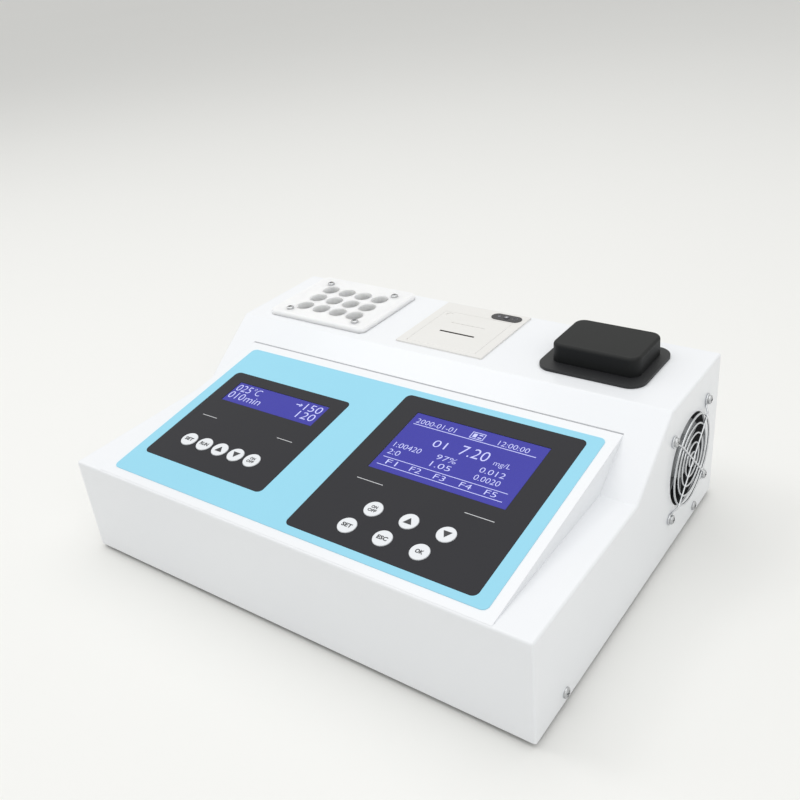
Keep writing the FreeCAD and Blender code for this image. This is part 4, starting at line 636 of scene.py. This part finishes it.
@dataclass
class ScrewSet:
    """A set of like pan head screws, each standing on its own spot."""

    name: str
    nodes: tuple[str, ...]
    radius: float
    height: float
    spots: Sequence[tuple[Point, Point]]
    slot: str = "screw_steel"
    recess: Recess = Recess.CROSS
    seed: int = 11

    def seats(self) -> bpy.types.Object:
        """Makes one small face at each spot, turned the way the screw's head looks."""
        shape = Shape(SCREW)
        for spot, way in self.spots:
            turn = Vector((0, 0, 1)).rotation_difference(Vector(way)).to_matrix()
            corners = [turn @ Vector(corner) for corner in ((-1, -1, 0), (1, -1, 0), (1, 1, 0), (-1, 1, 0))]
            shape.polygon([tuple(Vector(spot) + corner) for corner in corners])
        return shape.made(self.name)

    def build(self) -> bpy.types.Object:
        """Grows a head with its recess on each seat, at a random turn."""
        tree = Tree(f"{self.name}_tree", radius=self.radius*MM, height=self.height*MM,
                    arm=self.recess.value, seed=self.seed)
        radius, height, arm, seed = (tree.inputs[word] for word in ("radius", "height", "arm", "seed"))
        ball = tree.add("GeometryNodeMeshUVSphere", {"Segments": 32, "Rings": 16, "Radius": 1.0})
        parts = tree.add("ShaderNodeSeparateXYZ", {0: tree.add("GeometryNodeInputPosition").outputs[0]})
        x, y, z = parts.outputs
        out = tree.math("SQRT", tree.math("ADD", tree.math("MULTIPLY", x, x), tree.math("MULTIPLY", y, y)))
        swell = tree.math("DIVIDE", tree.math("POWER", out, 0.5), tree.math("MAXIMUM", out, 0.001))
        wide = tree.math("MULTIPLY", swell, radius)
        rise = tree.math("MULTIPLY", tree.math("POWER", tree.math("MAXIMUM", z, 0.0), 0.6), height)
        place = tree.add(
            "ShaderNodeCombineXYZ", {0: tree.math("MULTIPLY", x, wide), 1: tree.math("MULTIPLY", y, wide), 2: rise},
        )
        head = tree.add(
            "GeometryNodeSetPosition", {"Geometry": ball.outputs["Mesh"], "Position": place.outputs[0]},
        )
        long, thin = tree.math("MULTIPLY", radius, 1.15), tree.math("MULTIPLY", radius, arm)
        cutters = tree.add("GeometryNodeJoinGeometry")
        for size_x, size_y in ((long, thin), (thin, long)):
            size = tree.add("ShaderNodeCombineXYZ", {0: size_x, 1: size_y, 2: height})
            bar = tree.add("GeometryNodeMeshCube", {"Size": size.outputs[0]})
            up = tree.add("ShaderNodeCombineXYZ", {2: tree.math("MULTIPLY", height, 0.95)})
            moved = tree.add(
                "GeometryNodeTransform", {"Geometry": bar.outputs["Mesh"], "Translation": up.outputs[0]},
            )
            tree.tree.links.new(moved.outputs[0], cutters.inputs[0])
        cut = tree.add(
            "GeometryNodeMeshBoolean",
            {"Mesh 1": head.outputs[0], "Mesh 2": cutters.outputs[0], "Self Intersection": True},
            operation="DIFFERENCE", solver="EXACT",
        )
        way = tree.add(
            "GeometryNodeCaptureAttribute", {"Geometry": tree.inputs["Geometry"]}, domain="FACE",
        )
        way.capture_items.new("VECTOR", "way")
        tree.tree.links.new(tree.add("GeometryNodeInputNormal").outputs[0], way.inputs["way"])
        spots = tree.add("GeometryNodeMeshToPoints", {"Mesh": way.outputs["Geometry"]}, mode="FACES")
        facing = tree.add("FunctionNodeAlignRotationToVector", {"Vector": way.outputs["way"]}, axis="Z")
        spin = tree.add("FunctionNodeRandomValue", {2: 0.0, 3: math.pi, "Seed": seed}, data_type="FLOAT")
        about = tree.add("FunctionNodeAxisAngleToRotation", {"Axis": (0, 0, 1), "Angle": spin.outputs[1]})
        turned = tree.add(
            "FunctionNodeRotateRotation", {"Rotation": facing.outputs[0], "Rotate By": about.outputs[0]},
            rotation_space="LOCAL",
        )
        placed = tree.add(
            "GeometryNodeInstanceOnPoints",
            {"Points": spots.outputs[0], "Instance": cut.outputs["Mesh"], "Rotation": turned.outputs[0]},
        )
        made = tree.run(self.seats(), placed.outputs[0], SCREW)
        return given(made, home(self.nodes[0]), self.slot, *self.nodes)


@dataclass
class Casing:
    """The bent sheet casing on its feet."""

    width: float = 430.0
    depth: float = 320.0
    foot: Spot = (185.0, 130.0)
    foot_radius: float = 8.0
    foot_height: float = 4.0
    screw_y: float = 118.0
    screw_z: float = 12.0
    rear_screw: tuple[float, float, float] = (206.0, 13.0, 124.5)
    head: Spot = (4.1, 2.2)

    def feet(self) -> bpy.types.Object:
        """Turns four ribbed rubber feet, each pressed through the tray."""
        shape = Shape(FOOT)
        radius, high = self.foot_radius, self.foot_height
        profile = [
            (0, 0.5), (radius*0.45, 0.5), (radius*0.5, 0.0), (radius - 0.8, 0.0), (radius - 0.2, 0.5),
            (radius, 1.4), (radius - 0.35, 1.8), (radius - 0.35, 2.2), (radius, 2.6), (radius, high - 0.3),
            (radius - 0.4, high), (2.8, high), (2.8, high + 1.8), (3.6, high + 1.9), (3.5, high + 2.4),
            (2.2, high + 3.3), (0, high + 3.3),
        ]
        for side in (-1, 1):
            for end in (-1, 1):
                shape.lathe(profile, upright(side*self.foot[0], end*self.foot[1], 0))
        return given(shape.made("rubber_feet_finished"), home("rubber_feet"), "foot_rubber", "rubber_feet")

    def build(self) -> None:
        """Dresses the sheets, the feet and the screws."""
        softened("hood", CASING, "casing_white", 0.25, sharp=30.0)
        # The tray's near black colour is painted shade, so that the gap under the casing reads dark.
        softened("base_tray", TRAY_SHADE, "tray_steel", 0.15)
        softened("rear_panel", CASING, "casing_white", 0.2)
        self.feet()
        half = self.width/2
        spots = [((side*half, end*self.screw_y, self.screw_z), (side, 0, 0)) for side in (-1, 1) for end in (-1, 1)]
        spots += [
            ((side*self.rear_screw[0], self.depth/2, z), (0, 1, 0)) for side in (-1, 1) for z in self.rear_screw[1:]
        ]
        ScrewSet("casing_screws_finished", ("casing_screws",), *self.head, spots).build()


class Sign(Enum):
    """What a key is marked with: lines of letters, or an arrow up or down."""

    SET = ("SET",)
    RUN = ("RUN",)
    ESC = ("ESC",)
    OK = ("OK",)
    ON_OFF = ("ON", "OFF")
    UP = 1
    DOWN = -1


@dataclass
class Console:
    """The raised sloping panel with its films, displays and keys."""

    front: float = -160.0
    deck: float = 90.0
    tilt: float = TILT
    film_top: float = 0.6
    glass_top: float = 0.35
    key_top: float = 1.2
    key_radius: float = 7.4
    digester_key: Spot = (-103.2, 61.2)
    digester_pitch: float = 17.75
    upper_key: Spot = (88.5, 55.7)
    lower_key: Spot = (80.4, 34.3)
    meter_pitch: float = 31.1
    digester_signs: tuple[Sign, ...] = (Sign.SET, Sign.RUN, Sign.UP, Sign.DOWN, Sign.ON_OFF)
    meter_signs: tuple[Sign, ...] = (Sign.ON_OFF, Sign.UP, Sign.DOWN, Sign.SET, Sign.ESC, Sign.OK)
    rules: tuple[tuple[float, float, float], ...] = (
        (-152.7, -136.1, 92.1), (-67.0, -50.7, 92.1), (25.0, 49.0, 79.5), (119.9, 143.9, 79.5),
    )
    rule_width: float = 0.55
    half_width: float = 186.0
    fillet: Spot = (1.6, 5.2)

    def on(self, x: float = 0.0, v: float = 0.0) -> Placer:
        """Places local points on the slope, from a spot across and up it."""
        cos, sin = math.cos(math.radians(self.tilt)), math.sin(math.radians(self.tilt))
        return lambda a, b, h: (
            x + a, self.front + (v + b)*cos - h*sin, self.deck + (v + b)*sin + h*cos,
        )

    def key(self, node: str, spot: Spot, sign: Sign) -> bpy.types.Object:
        """Makes one round key with a softly dished top and its mark.

        Args:
            node: The key's node.
            spot: Its middle across and up the slope.
            sign: Its mark.

        Returns:
            The key.
        """
        shape = Shape(KEYCAP, LEGEND)
        place, radius, top = self.on(*spot), self.key_radius, self.key_top
        low = -2.95
        shape.lathe([
            (0, low), (radius + 1.3, low), (radius + 1.3, low + 0.8), (radius, low + 0.8), (radius, top - 0.55),
            (radius - 0.12, top - 0.22), (radius - 0.4, top - 0.04), (radius - 0.8, top), (radius - 1.8, top - 0.05),
            (0, top - 0.08),
        ], place, 64)
        mark = top + 0.02
        if isinstance(sign.value, tuple):
            lines = len(sign.value)
            for number, words in enumerate(sign.value):
                middle = (lines - 1)*1.8 - number*3.6
                wide = (0.5 + 1.05*len(words) if lines > 1 else 0.9 + 1.15*len(words))
                tall = 1.4 if lines > 1 else 1.85
                shape.lettering(words, (-wide, wide, middle - tall, middle + tall), mark, place, 1, 0.035)
        else:
            points = [(-3.6, -2.7*sign.value), (3.6, -2.7*sign.value), (0, 3.3*sign.value)]
            if sign is Sign.DOWN:
                points.reverse()
            shape.polygon([place(x, y, mark) for x, y in points], 1)
        return given(shape.made(f"{node}_finished", 50), home(node), "key_white", node)

    def keys(self) -> None:
        """Makes the five keys of the digester and the six of the meter."""
        for number, sign in enumerate(self.digester_signs):
            spot = (self.digester_key[0] + (number - 2)*self.digester_pitch, self.digester_key[1])
            self.key(f"digester_key_{number + 1}", spot, sign)
        for number, sign in enumerate(self.meter_signs):
            row = self.upper_key if number < 3 else self.lower_key
            spot = (row[0] + (number % 3 - 1)*self.meter_pitch, row[1])
            self.key(f"meter_key_{number + 1}", spot, sign)

    def caption_rules(self) -> bpy.types.Object:
        """Prints the short rules that flank the bare caption places."""
        shape = Shape(PRINT)
        place, half = self.on(), self.rule_width/2
        for left, right, v in self.rules:
            outline = [(left, v - half), (right, v - half), (right, v + half), (left, v + half)]
            shape.plate(outline, self.film_top - 0.05, self.film_top + 0.03, place)
        return given(shape.made("caption_rules"), "casing", "key_white")

    def front_fillet(self) -> bpy.types.Object:
        """Fills the small step at the cover's front edge, which is painted over with the casing."""
        cos, sin = math.cos(math.radians(self.tilt)), math.sin(math.radians(self.tilt))
        shape = Shape(CASING)
        near, far = self.fillet
        lift = 0.01
        section = [(near, 0.02), (far, 0.02), (far, far*sin/cos + lift), (near, near*sin/cos + lift)]
        half = self.half_width
        left, right = [
            [shape.mesh.verts.new((x, self.front + y, self.deck + z)) for y, z in section] for x in (-half, half)
        ]
        shape.mesh.faces.new(left[::-1])
        shape.mesh.faces.new(right)
        for at in range(4):
            after = (at + 1) % 4
            shape.mesh.faces.new((left[at], left[after], right[after], right[at]))
        bmesh.ops.recalc_face_normals(shape.mesh, faces=shape.mesh.faces)
        return given(shape.made("console_front_fillet"), "casing", "casing_white")

    def readout(self, name: str, texts: Sequence[tuple[str, tuple[float, float, float, float]]],
                bars: Sequence[tuple[float, float, float, float]], slot: str) -> bpy.types.Object:
        """Lights figures and lines on a display.

        Args:
            name: The piece's name.
            texts: What is written and the box that it fills.
            bars: Left, right, lower and upper edge of each bar.
            slot: The record's material slot.

        Returns:
            The lit figures as one piece.
        """
        shape = Shape(LIT)
        place, high = self.on(), self.glass_top + 0.04
        for words, box in texts:
            shape.lettering(words, box, high, place, 0, -0.008)
        for left, right, low, top in bars:
            shape.polygon([place(x, v, high) for x, v in ((left, low), (right, low), (right, top), (left, top))])
        return given(shape.made(name), "casing", slot)

    def readouts(self) -> None:
        """Lights both displays with plain figures and units."""
        self.readout(
            "digester_readout",
            [
                ("025", (-150.0, -133.5, 130.4, 139.0)), ("°C", (-131.5, -122.0, 130.4, 139.0)),
                ("010", (-150.5, -133.0, 120.0, 128.7)), ("min", (-131.0, -113.5, 120.0, 127.6)),
                ("150", (-71.0, -53.0, 130.4, 139.0)), ("120", (-71.5, -53.0, 120.0, 128.7)),
            ],
            [(-81.0, -74.5, 134.3, 135.3), (-77.0, -76.0, 133.0, 136.6), (-75.9, -75.0, 133.7, 135.9)],
            "display_blue",
        )
        rows = [
            ("1:00420", (29.8, 54.5, 120.4, 126.0)), ("97%", (69.0, 86.5, 120.4, 126.0)),
            ("0.012", (107.0, 128.0, 120.4, 126.0)), ("2:0", (29.8, 40.5, 111.8, 117.4)),
            ("1.05", (69.0, 86.5, 111.8, 117.4)), ("0.0020", (107.0, 128.5, 111.8, 117.4)),
        ]
        menu = [(f"F{number + 1}", (left, left + 9.5, 101.0, 106.2)) for number, left in
                enumerate((35.6, 57.6, 79.0, 101.5, 122.5))]
        self.readout(
            "meter_readout",
            [
                ("2000-01-01", (30.2, 66.5, 152.2, 157.6)), ("12:00:00", (105.0, 131.0, 152.2, 157.6)),
                ("01", (58.0, 69.5, 132.0, 140.0)), ("7.20", (82.0, 106.7, 131.6, 142.4)),
                ("mg/L", (113.0, 127.0, 129.4, 136.2)), *rows, *menu,
            ],
            [
                (29.6, 138.7, 150.0, 150.7), (29.6, 138.7, 107.6, 108.2), (29.6, 138.7, 98.7, 99.3),
                (80.0, 92.0, 158.9, 159.6), (80.0, 92.0, 151.9, 152.6), (80.0, 80.7, 151.9, 159.6),
                (91.3, 92.0, 151.9, 159.6), (82.0, 85.2, 153.6, 157.9), (86.6, 90.0, 156.8, 157.9),
                (86.6, 90.0, 153.6, 154.7),
            ],
            "display_blue",
        )

    def build(self) -> None:
        """Dresses the console from its cover up."""
        softened("console_cover", CASING, "casing_white", 0.3, sharp=30.0)
        softened("panel_overlay", OVERLAY, "overlay_blue", 0.08)
        softened("digester_keypad", KEYPAD, "film_grey", 0.1)
        softened("meter_keypad", KEYPAD, "film_grey", 0.1)
        softened("digester_display", SCREEN, "display_blue", 0.05)
        softened("meter_display", SCREEN, "display_blue", 0.05)
        self.keys()
        self.front_fillet()
        self.caption_rules()
        self.readouts()
        repainted(BOARD, "digester_key_board", "meter_key_board")


@dataclass
class Digester:
    """The block digester with its plate of vial holes."""

    middle: Spot = (-133.0, 108.5)
    top: float = 140.0
    screw: Spot = (39.3, 31.6)
    head: Spot = (3.6, 2.2)

    def build(self) -> None:
        """Dresses the plate, its screws and what lies under it."""
        softened("digestion_plate", PLATE, "plate_white", 0.5)
        softened("heating_block", BLOCK, "block_aluminium", 0.3)
        x, y = self.middle
        spots = [
            ((x + side*self.screw[0], y + end*self.screw[1], self.top), (0, 0, 1))
            for side in (-1, 1) for end in (-1, 1)
        ]
        ScrewSet("plate_screws_finished", ("plate_screws",), *self.head, spots, seed=5).build()
        repainted(HEATER, "heater_pad")
        repainted(CONTACT, "block_sensor")
        repainted(JACKET, "insulation_jacket")
        repainted(BRACKET, "block_stand")


class Photometer:
    """The cuvette well under its hinged lid."""

    def build(self) -> None:
        """Dresses the seat, the lid and the optics."""
        softened("cuvette_seat", SEAT, "lid_black", 0.45, flat=0.0)
        softened("cuvette_lid", LID, "lid_black", 0.3)
        softened("light_seal", SEAL, "seal_foam", 0.4)
        softened("cuvette_holder", HOLDER, "holder_black", 0.4)
        softened("lid_hinge_pin", SCREW, "screw_steel", 0.2)
        repainted(BOARD, "lamp_board", "detector_board")


@dataclass
class Printer:
    """The panel printer with its door, pod and paper."""

    pod: Spot = (26.0, 146.6)
    face: float = 137.1
    # Box around the paper slot, whose wall faces get painted shade.
    slot_low: Point = (-17.0, 99.0, 130.0)
    slot_high: Point = (20.0, 103.0, 136.4)
    lamp_at: float = -7.6
    ring_at: float = 8.5
    roll: Point = (1.5, 127.0, 100.5)
    roll_radius: float = 16.0
    roll_width: float = 37.0
    bore: float = 6.2

    def pod_marks(self) -> None:
        """Adds the lamp and the ring of the feed button."""
        x, y = self.pod
        marks = Shape(LAMP_OFF, BUTTON)
        marks.lathe([(1.5, -0.1), (1.45, 0.12), (1.0, 0.3), (0.5, 0.38), (0, 0.4)], upright(x + self.lamp_at, y, self.face), 32)
        marks.lathe(
            [(2.0, -0.1), (2.0, 0.14), (2.2, 0.26), (2.6, 0.26), (2.8, 0.14), (2.8, -0.1)],
            upright(x + self.ring_at, y, self.face), 40, 1,
        )
        given(marks.made("pod_marks"), "casing", "pod_dark")

    def button_mark(self) -> None:
        """Prints the pale arrow on the feed button."""
        low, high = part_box("feed_button")
        arrow = Shape(PRINT)
        place = upright(self.pod[0], self.pod[1], high.z/MM + 0.02)
        arrow.polygon([place(a, b, 0) for a, b in ((-1.3, -0.9), (1.3, -0.9), (0, 1.3))])
        given(arrow.made("feed_button_mark"), home("feed_button"), "button_grey")

    def paper(self) -> None:
        """Winds the paper roll, with its bore for the spindle."""
        shape = Shape(PAPER)
        half, out, bore = self.roll_width/2, self.roll_radius, self.bore
        ring = [
            (bore, -half), (out - 0.4, -half), (out, -half + 0.4), (out, half - 0.4), (out - 0.4, half),
            (bore, half), (bore, -half),
        ]
        shape.lathe(ring, across(*self.roll), 72)
        given(shape.made("paper_roll_finished", 30), home("paper_roll"), "paper_white", "paper_roll")

    def build(self) -> None:
        """Dresses the printer from its face down."""
        softened("printer_bezel", PRINTER, "printer_grey", 0.2)
        # The door's faces inside the slot box get painted shade, so that the paper slot reads dark.
        softened("printer_door", PRINTER, "printer_grey", 0.06, (Patch(SLOT_SHADE, self.slot_low, self.slot_high),))
        softened("printer_pod", POD, "pod_dark", 0.25)
        softened("feed_button", BUTTON, "button_grey", 0.2)
        softened("platen_roller", PLATEN, "platen_rubber", 0.2)
        self.pod_marks()
        self.button_mark()
        self.paper()
        repainted(SCREW, "door_hinge_pin")
        repainted(MECHANISM, "printer_mechanism")


@dataclass
class Fan:
    """The cooling fan in the right side, behind its wire guard."""

    middle: tuple[float, float, float] = (215.0, 97.5, 71.0)
    pitch: float = 71.5
    hub: float = 18.0
    tip: float = 36.2
    near: float = 192.6
    far: float = 211.4
    blades: int = 7
    chord: float = 15.0
    sweep: float = 23.0
    thickness: float = 1.5
    wire: float = 0.8
    stand: float = 3.0
    weld: float = 0.64
    ring: float = 37.5
    step: float = 7.8
    rings: int = 5
    loop: float = 3.4
    head: Spot = (3.8, 2.4)

    def blade(self) -> bpy.types.Object:
        """Makes one cambered blade about the fan's axis, root and tip closed."""
        shape = Shape(ROTOR)
        spans, cuts = 6, 8
        middle = (self.near + self.far)/2
        grid: dict[tuple[int, int, int], bmesh.types.BMVert] = {}
        for span in range(spans + 1):
            radius = self.hub - 0.8 + (self.tip - self.hub + 0.8)*span/spans
            for cut in range(cuts + 1):
                along = cut/cuts - 0.5
                turn = (along + 0.10*math.cos(math.pi*along))*self.sweep/(self.tip*0.86)
                thick = self.thickness*(0.25 + 0.75*math.cos(math.pi*along)**0.5 if abs(along) < 0.5 else 0.25)
                for side in (0, 1):
                    x = middle + along*self.chord + (0.5 - side)*thick*0.7
                    angle = turn + (side - 0.5)*thick*0.7/radius
                    grid[span, cut, side] = shape.mesh.verts.new(
                        (x, self.middle[1] + radius*math.sin(angle), self.middle[2] + radius*math.cos(angle))
                    )
        for span in range(spans):
            for cut in range(cuts):
                for side in (0, 1):
                    corners = [grid[span, cut, side], grid[span + 1, cut, side],
                               grid[span + 1, cut + 1, side], grid[span, cut + 1, side]]
                    shape.mesh.faces.new(corners if side else corners[::-1]).smooth = True
        for span in range(spans):
            for cut in (0, cuts):
                shape.mesh.faces.new(
                    [grid[span, cut, 0], grid[span + 1, cut, 0], grid[span + 1, cut, 1], grid[span, cut, 1]]
                )
        for cut in range(cuts):
            for span in (0, spans):
                shape.mesh.faces.new(
                    [grid[span, cut, 0], grid[span, cut + 1, 0], grid[span, cut + 1, 1], grid[span, cut, 1]]
                )
        bmesh.ops.recalc_face_normals(shape.mesh, faces=shape.mesh.faces)
        return shape.made("fan_blades")

    def rotor(self) -> None:
        """Repeats the blade around a turned hub with a soft rim."""
        tree = Tree("fan_blades_tree", blades=self.blades)
        count = tree.inputs["blades"]
        turn = tree.math("DIVIDE", 2*math.pi, count)
        angle = tree.math("MULTIPLY", tree.add("GeometryNodeInputIndex").outputs[0], turn)
        about = tree.add("ShaderNodeCombineXYZ", {0: angle})
        axis = (0.0, self.middle[1]*MM, self.middle[2]*MM)
        centred = tree.add(
            "GeometryNodeTransform",
            {"Geometry": tree.inputs["Geometry"], "Translation": tuple(-part for part in axis)},
        )
        points = tree.add("GeometryNodePoints", {"Count": count, "Position": axis})
        placed = tree.add(
            "GeometryNodeInstanceOnPoints",
            {"Points": points.outputs[0], "Instance": centred.outputs[0], "Rotation": about.outputs[0]},
        )
        blades = tree.run(self.blade(), placed.outputs[0], ROTOR)
        hub = Shape(ROTOR)
        high = self.far - self.near
        hub.lathe(
            [(0, 0), (self.hub - 0.3, 0), (self.hub, 0.3), (self.hub, high - 1.6), (self.hub - 0.5, high - 0.5),
             (self.hub - 1.6, high), (self.hub - 6, high), (self.hub - 6.6, high - 0.4), (0, high - 0.4)],
            across(self.near, self.middle[1], self.middle[2]), 64,
        )
        given(blades, home("fan_rotor"), "fan_black")
        given(hub.made("fan_hub"), home("fan_rotor"), "fan_black", "fan_rotor")

    def wires(self) -> bpy.types.Object:
        """Lays the line of the two crossed wires and the loops at their ends."""
        lines = bmesh.new()
        middle = Vector(self.middle)
        reach = self.pitch/2*math.sqrt(2)
        loop_end, bend = reach - self.loop - self.wire, self.ring + self.wire
        high = self.stand + 2*self.wire - self.weld
        for angle in (45, 135):
            turn = math.radians(angle)
            along = Vector((0, math.cos(turn), math.sin(turn)))
            side = Vector((0, -math.sin(turn), math.cos(turn)))
            path = []
            for end in (-1, 1):
                eye = middle + along*end*reach + Vector((self.wire, 0, 0))
                ring = [
                    eye + (-along*end*math.cos(t) + side*math.sin(t))*(self.loop + self.wire)
                    for t in (2*math.pi*step/28 for step in range(29))
                ]
                rise = [
                    middle + along*end*(loop_end + (bend - loop_end)*share)
                    + Vector((self.wire + (high - self.wire)*(0.5 - 0.5*math.cos(math.pi*share)), 0, 0))
                    for share in (step/10 for step in range(1, 11))
                ]
                path += ring + rise if end < 0 else rise[::-1] + ring
            corners = [lines.verts.new(point*MM) for point in path]
            for one, other in zip(corners, corners[1:]):
                lines.edges.new((one, other))
        mesh = bpy.data.meshes.new("fan_guard_finished")
        lines.to_mesh(mesh)
        lines.free()
        return fresh("fan_guard_finished", mesh)

    def guard(self) -> None:
        """Draws wire along the crossed lines and rings of growing size."""
        tree = Tree("wire_guard_tree", rings=self.rings, outer=self.ring*MM, step=self.step*MM, wire=self.wire*MM)
        inputs = tree.inputs
        index = tree.add("GeometryNodeInputIndex").outputs[0]
        size = tree.math("SUBTRACT", inputs["outer"], tree.math("MULTIPLY", index, inputs["step"]))
        middle = (Vector(self.middle) + Vector((self.stand, 0, 0)))*MM
        points = tree.add("GeometryNodePoints", {"Count": inputs["rings"], "Position": tuple(middle)})
        circle = tree.add("GeometryNodeCurvePrimitiveCircle", {"Resolution": 96, "Radius": 1.0})
        rings = tree.add(
            "GeometryNodeInstanceOnPoints",
            {"Points": points.outputs[0], "Instance": circle.outputs[0], "Rotation": (0, math.pi/2, 0), "Scale": size},
        )
        loose = tree.add("GeometryNodeRealizeInstances", {"Geometry": rings.outputs[0]})
        crossed = tree.add("GeometryNodeMeshToCurve", {"Mesh": inputs["Geometry"]})
        both = tree.add("GeometryNodeJoinGeometry")
        tree.tree.links.new(crossed.outputs[0], both.inputs[0])
        tree.tree.links.new(loose.outputs[0], both.inputs[0])
        section = tree.add("GeometryNodeCurvePrimitiveCircle", {"Resolution": 12, "Radius": inputs["wire"]})
        wire = tree.add(
            "GeometryNodeCurveToMesh",
            {"Curve": both.outputs[0], "Profile Curve": section.outputs[0], "Fill Caps": True},
        )
        made = tree.run(self.wires(), wire.outputs[0], CHROME)
        given(made, home("fan_guard"), "guard_chrome", "fan_guard")

    def build(self) -> None:
        """Dresses the frame, the rotor, the guard and its screws."""
        softened("fan_frame", FAN, "fan_black", 0.3)
        self.rotor()
        self.guard()
        x, y, z = self.middle
        off = 2*self.wire
        spots = [
            ((x + off, y + side*self.pitch/2, z + end*self.pitch/2), (1, 0, 0)) for side in (-1, 1) for end in (-1, 1)
        ]
        ScrewSet("fan_screws_finished", ("fan_screws",), *self.head, spots, seed=3).build()


@dataclass
class Rear:
    """The mains inlet, its fuse drawer, the switch and the data socket."""

    inlet: Spot = (-18.0, 40.0)
    pins: Spot = (145.2, 159.5)
    pin_spots: tuple[Spot, ...] = ((-7.0, -8.2), (0.0, -4.2), (7.0, -8.2))
    face: float = 160.0
    ring: Spot = (1.7, 2.3)
    bar: Spot = (0.7, 4.6)

    def rocker_marks(self) -> None:
        """Prints the bar and the ring of the mains switch on the two halves of its rocker."""
        rocker = frame["nodes"]["power_rocker"]
        low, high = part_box("power_rocker")
        across_it = Vector((-1, 0, 0))
        marks = Shape(PRINT)
        for share, ring in ((0.72, False), (0.28, True)):
            start = Vector(((low.x + high.x)/2, high.y + 0.01, low.z + (high.z - low.z)*share))
            _, spot, way, _ = rocker.ray_cast(start, (0, -1, 0))
            up = way.cross(across_it)
            turns = [2*math.pi*step/32 for step in range(33)]
            if ring:
                faces = [
                    [(size*math.cos(turn), size*math.sin(turn)) for size, turn in
                     ((self.ring[0], one), (self.ring[1], one), (self.ring[1], other), (self.ring[0], other))]
                    for one, other in zip(turns, turns[1:])
                ]
            else:
                wide, tall = self.bar[0]/2, self.bar[1]/2
                faces = [[(-wide, -tall), (wide, -tall), (wide, tall), (-wide, tall)]]
            for face in faces:
                marks.polygon([tuple((spot + way*0.03*MM)/MM + across_it*a + up*b) for a, b in face])
        given(marks.made("rocker_marks"), home("power_rocker"), "inlet_black")

    def build(self) -> None:
        """Dresses the fittings on the rear panel."""
        x, z = self.inlet
        pins = [
            Patch(CONTACT, (x + side - 1.2, self.pins[0], z + rise - 2.2), (x + side + 1.2, self.pins[1], z + rise + 2.2))
            for side, rise in self.pin_spots
        ]
        self.rocker_marks()
        softened("power_inlet", INLET, "inlet_black", 0.3, pins)
        softened("fuse_drawer", INLET, "inlet_black", 0.3)
        softened("switch_frame", INLET, "inlet_black", 0.3)
        softened("power_rocker", INLET, "inlet_black", 0.3)
        softened("data_port", PORT, "port_steel", 0.2)


class Electronics:
    """The boards and the supply on the tray."""

    def build(self) -> None:
        """Dresses what is inside the casing."""
        repainted(BOARD, "main_board")
        repainted(SUPPLY, "power_supply")
        repainted(RELAY, "heater_relay")


@dataclass
class Studio:
    """A pale table, plain light and the camera."""

    camera_at: Point = (0.415150, -0.517007, 0.490663)
    camera_turn: tuple[float, float, float, float] = (
        0.8290493212580243, 0.46875674166042286, 0.19008213751335548, 0.23835503155558999,
    )
    lens: float = 41.815
    reach: float = 9.0
    lamps: tuple[tuple[str, Point, Point, float, float], ...] = (
        ("overhead", (0.0, 0.25, 1.9), (0.0, 0.0, 0.0), 2.4, 13.0),
        ("left_window", (-1.9, -0.4, 1.2), (0.0, 0.0, 0.1), 1.6, 4.0),
        ("left_key", (-1.1, -0.3, 1.9), (0.0, 0.0, 0.1), 0.7, 3.5),
        ("right_fill", (1.6, -0.9, 1.5), (0.1, 0.0, 0.05), 1.6, 6.5),
    )
    ambient: float = 0.62
    sky: str = "#EFEFEB"

    def floor(self) -> None:
        """Lays the table top."""
        shape = Shape(FLOOR)
        reach = self.reach/MM
        shape.polygon([(-reach, -reach, 0), (reach, -reach, 0), (reach, reach, 0), (-reach, reach, 0)])
        shape.made("table")

    def world(self) -> None:
        """Sets an even ambient light behind a background that stays bright to the eye."""
        world = bpy.data.worlds.new("plain_sky")
        bpy.context.scene.world = world
        world.use_nodes = True
        tree = world.node_tree
        tree.nodes.clear()
        path = add(tree, "ShaderNodeLightPath").outputs
        seen = add(tree, "ShaderNodeMath", {0: path["Is Camera Ray"], 1: path["Is Glossy Ray"]}, operation="MAXIMUM")
        seen = add(tree, "ShaderNodeMath", {0: seen.outputs[0], 1: path["Is Transmission Ray"]}, operation="MAXIMUM")
        soft = add(tree, "ShaderNodeBackground", {"Color": (1, 1, 1, 1), "Strength": self.ambient})
        bright = add(tree, "ShaderNodeBackground", {"Color": linear(self.sky), "Strength": 1.0})
        both = add(tree, "ShaderNodeMixShader", {0: seen.outputs[0], 1: soft.outputs[0], 2: bright.outputs[0]})
        add(tree, "ShaderNodeOutputWorld", {"Surface": both.outputs[0]})

    def build(self) -> None:
        """Sets the table, the light and the camera."""
        self.floor()
        self.world()
        for name, at, aim, size, power in self.lamps:
            lamp = bpy.data.lights.new(name, "AREA")
            lamp.shape = "DISK"
            lamp.size = size
            lamp.energy = power
            holder = bpy.data.objects.new(name, lamp)
            holder.location = at
            holder.rotation_euler = (Vector(at) - Vector(aim)).to_track_quat("Z", "Y").to_euler()
            bpy.context.scene.collection.objects.link(holder)
        view = bpy.data.cameras.new("viewpoint")
        view.lens = self.lens
        view.sensor_width = 36.0
        eye = bpy.data.objects.new("viewpoint", view)
        eye.location = self.camera_at
        eye.rotation_mode = "QUATERNION"
        eye.rotation_quaternion = self.camera_turn
        bpy.context.scene.collection.objects.link(eye)
        bpy.context.scene.camera = eye
        bpy.context.scene.view_settings.view_transform = "Standard"


def main() -> None:
    """Dresses the whole analyzer."""
    logging.basicConfig(level=logging.INFO)
    for part in (Studio(), Casing(), Console(), Digester(), Photometer(), Printer(), Fan(), Rear(), Electronics()):
        log.info("building %s", type(part).__name__)
        part.build()


if __name__ == "__main__":
    main()
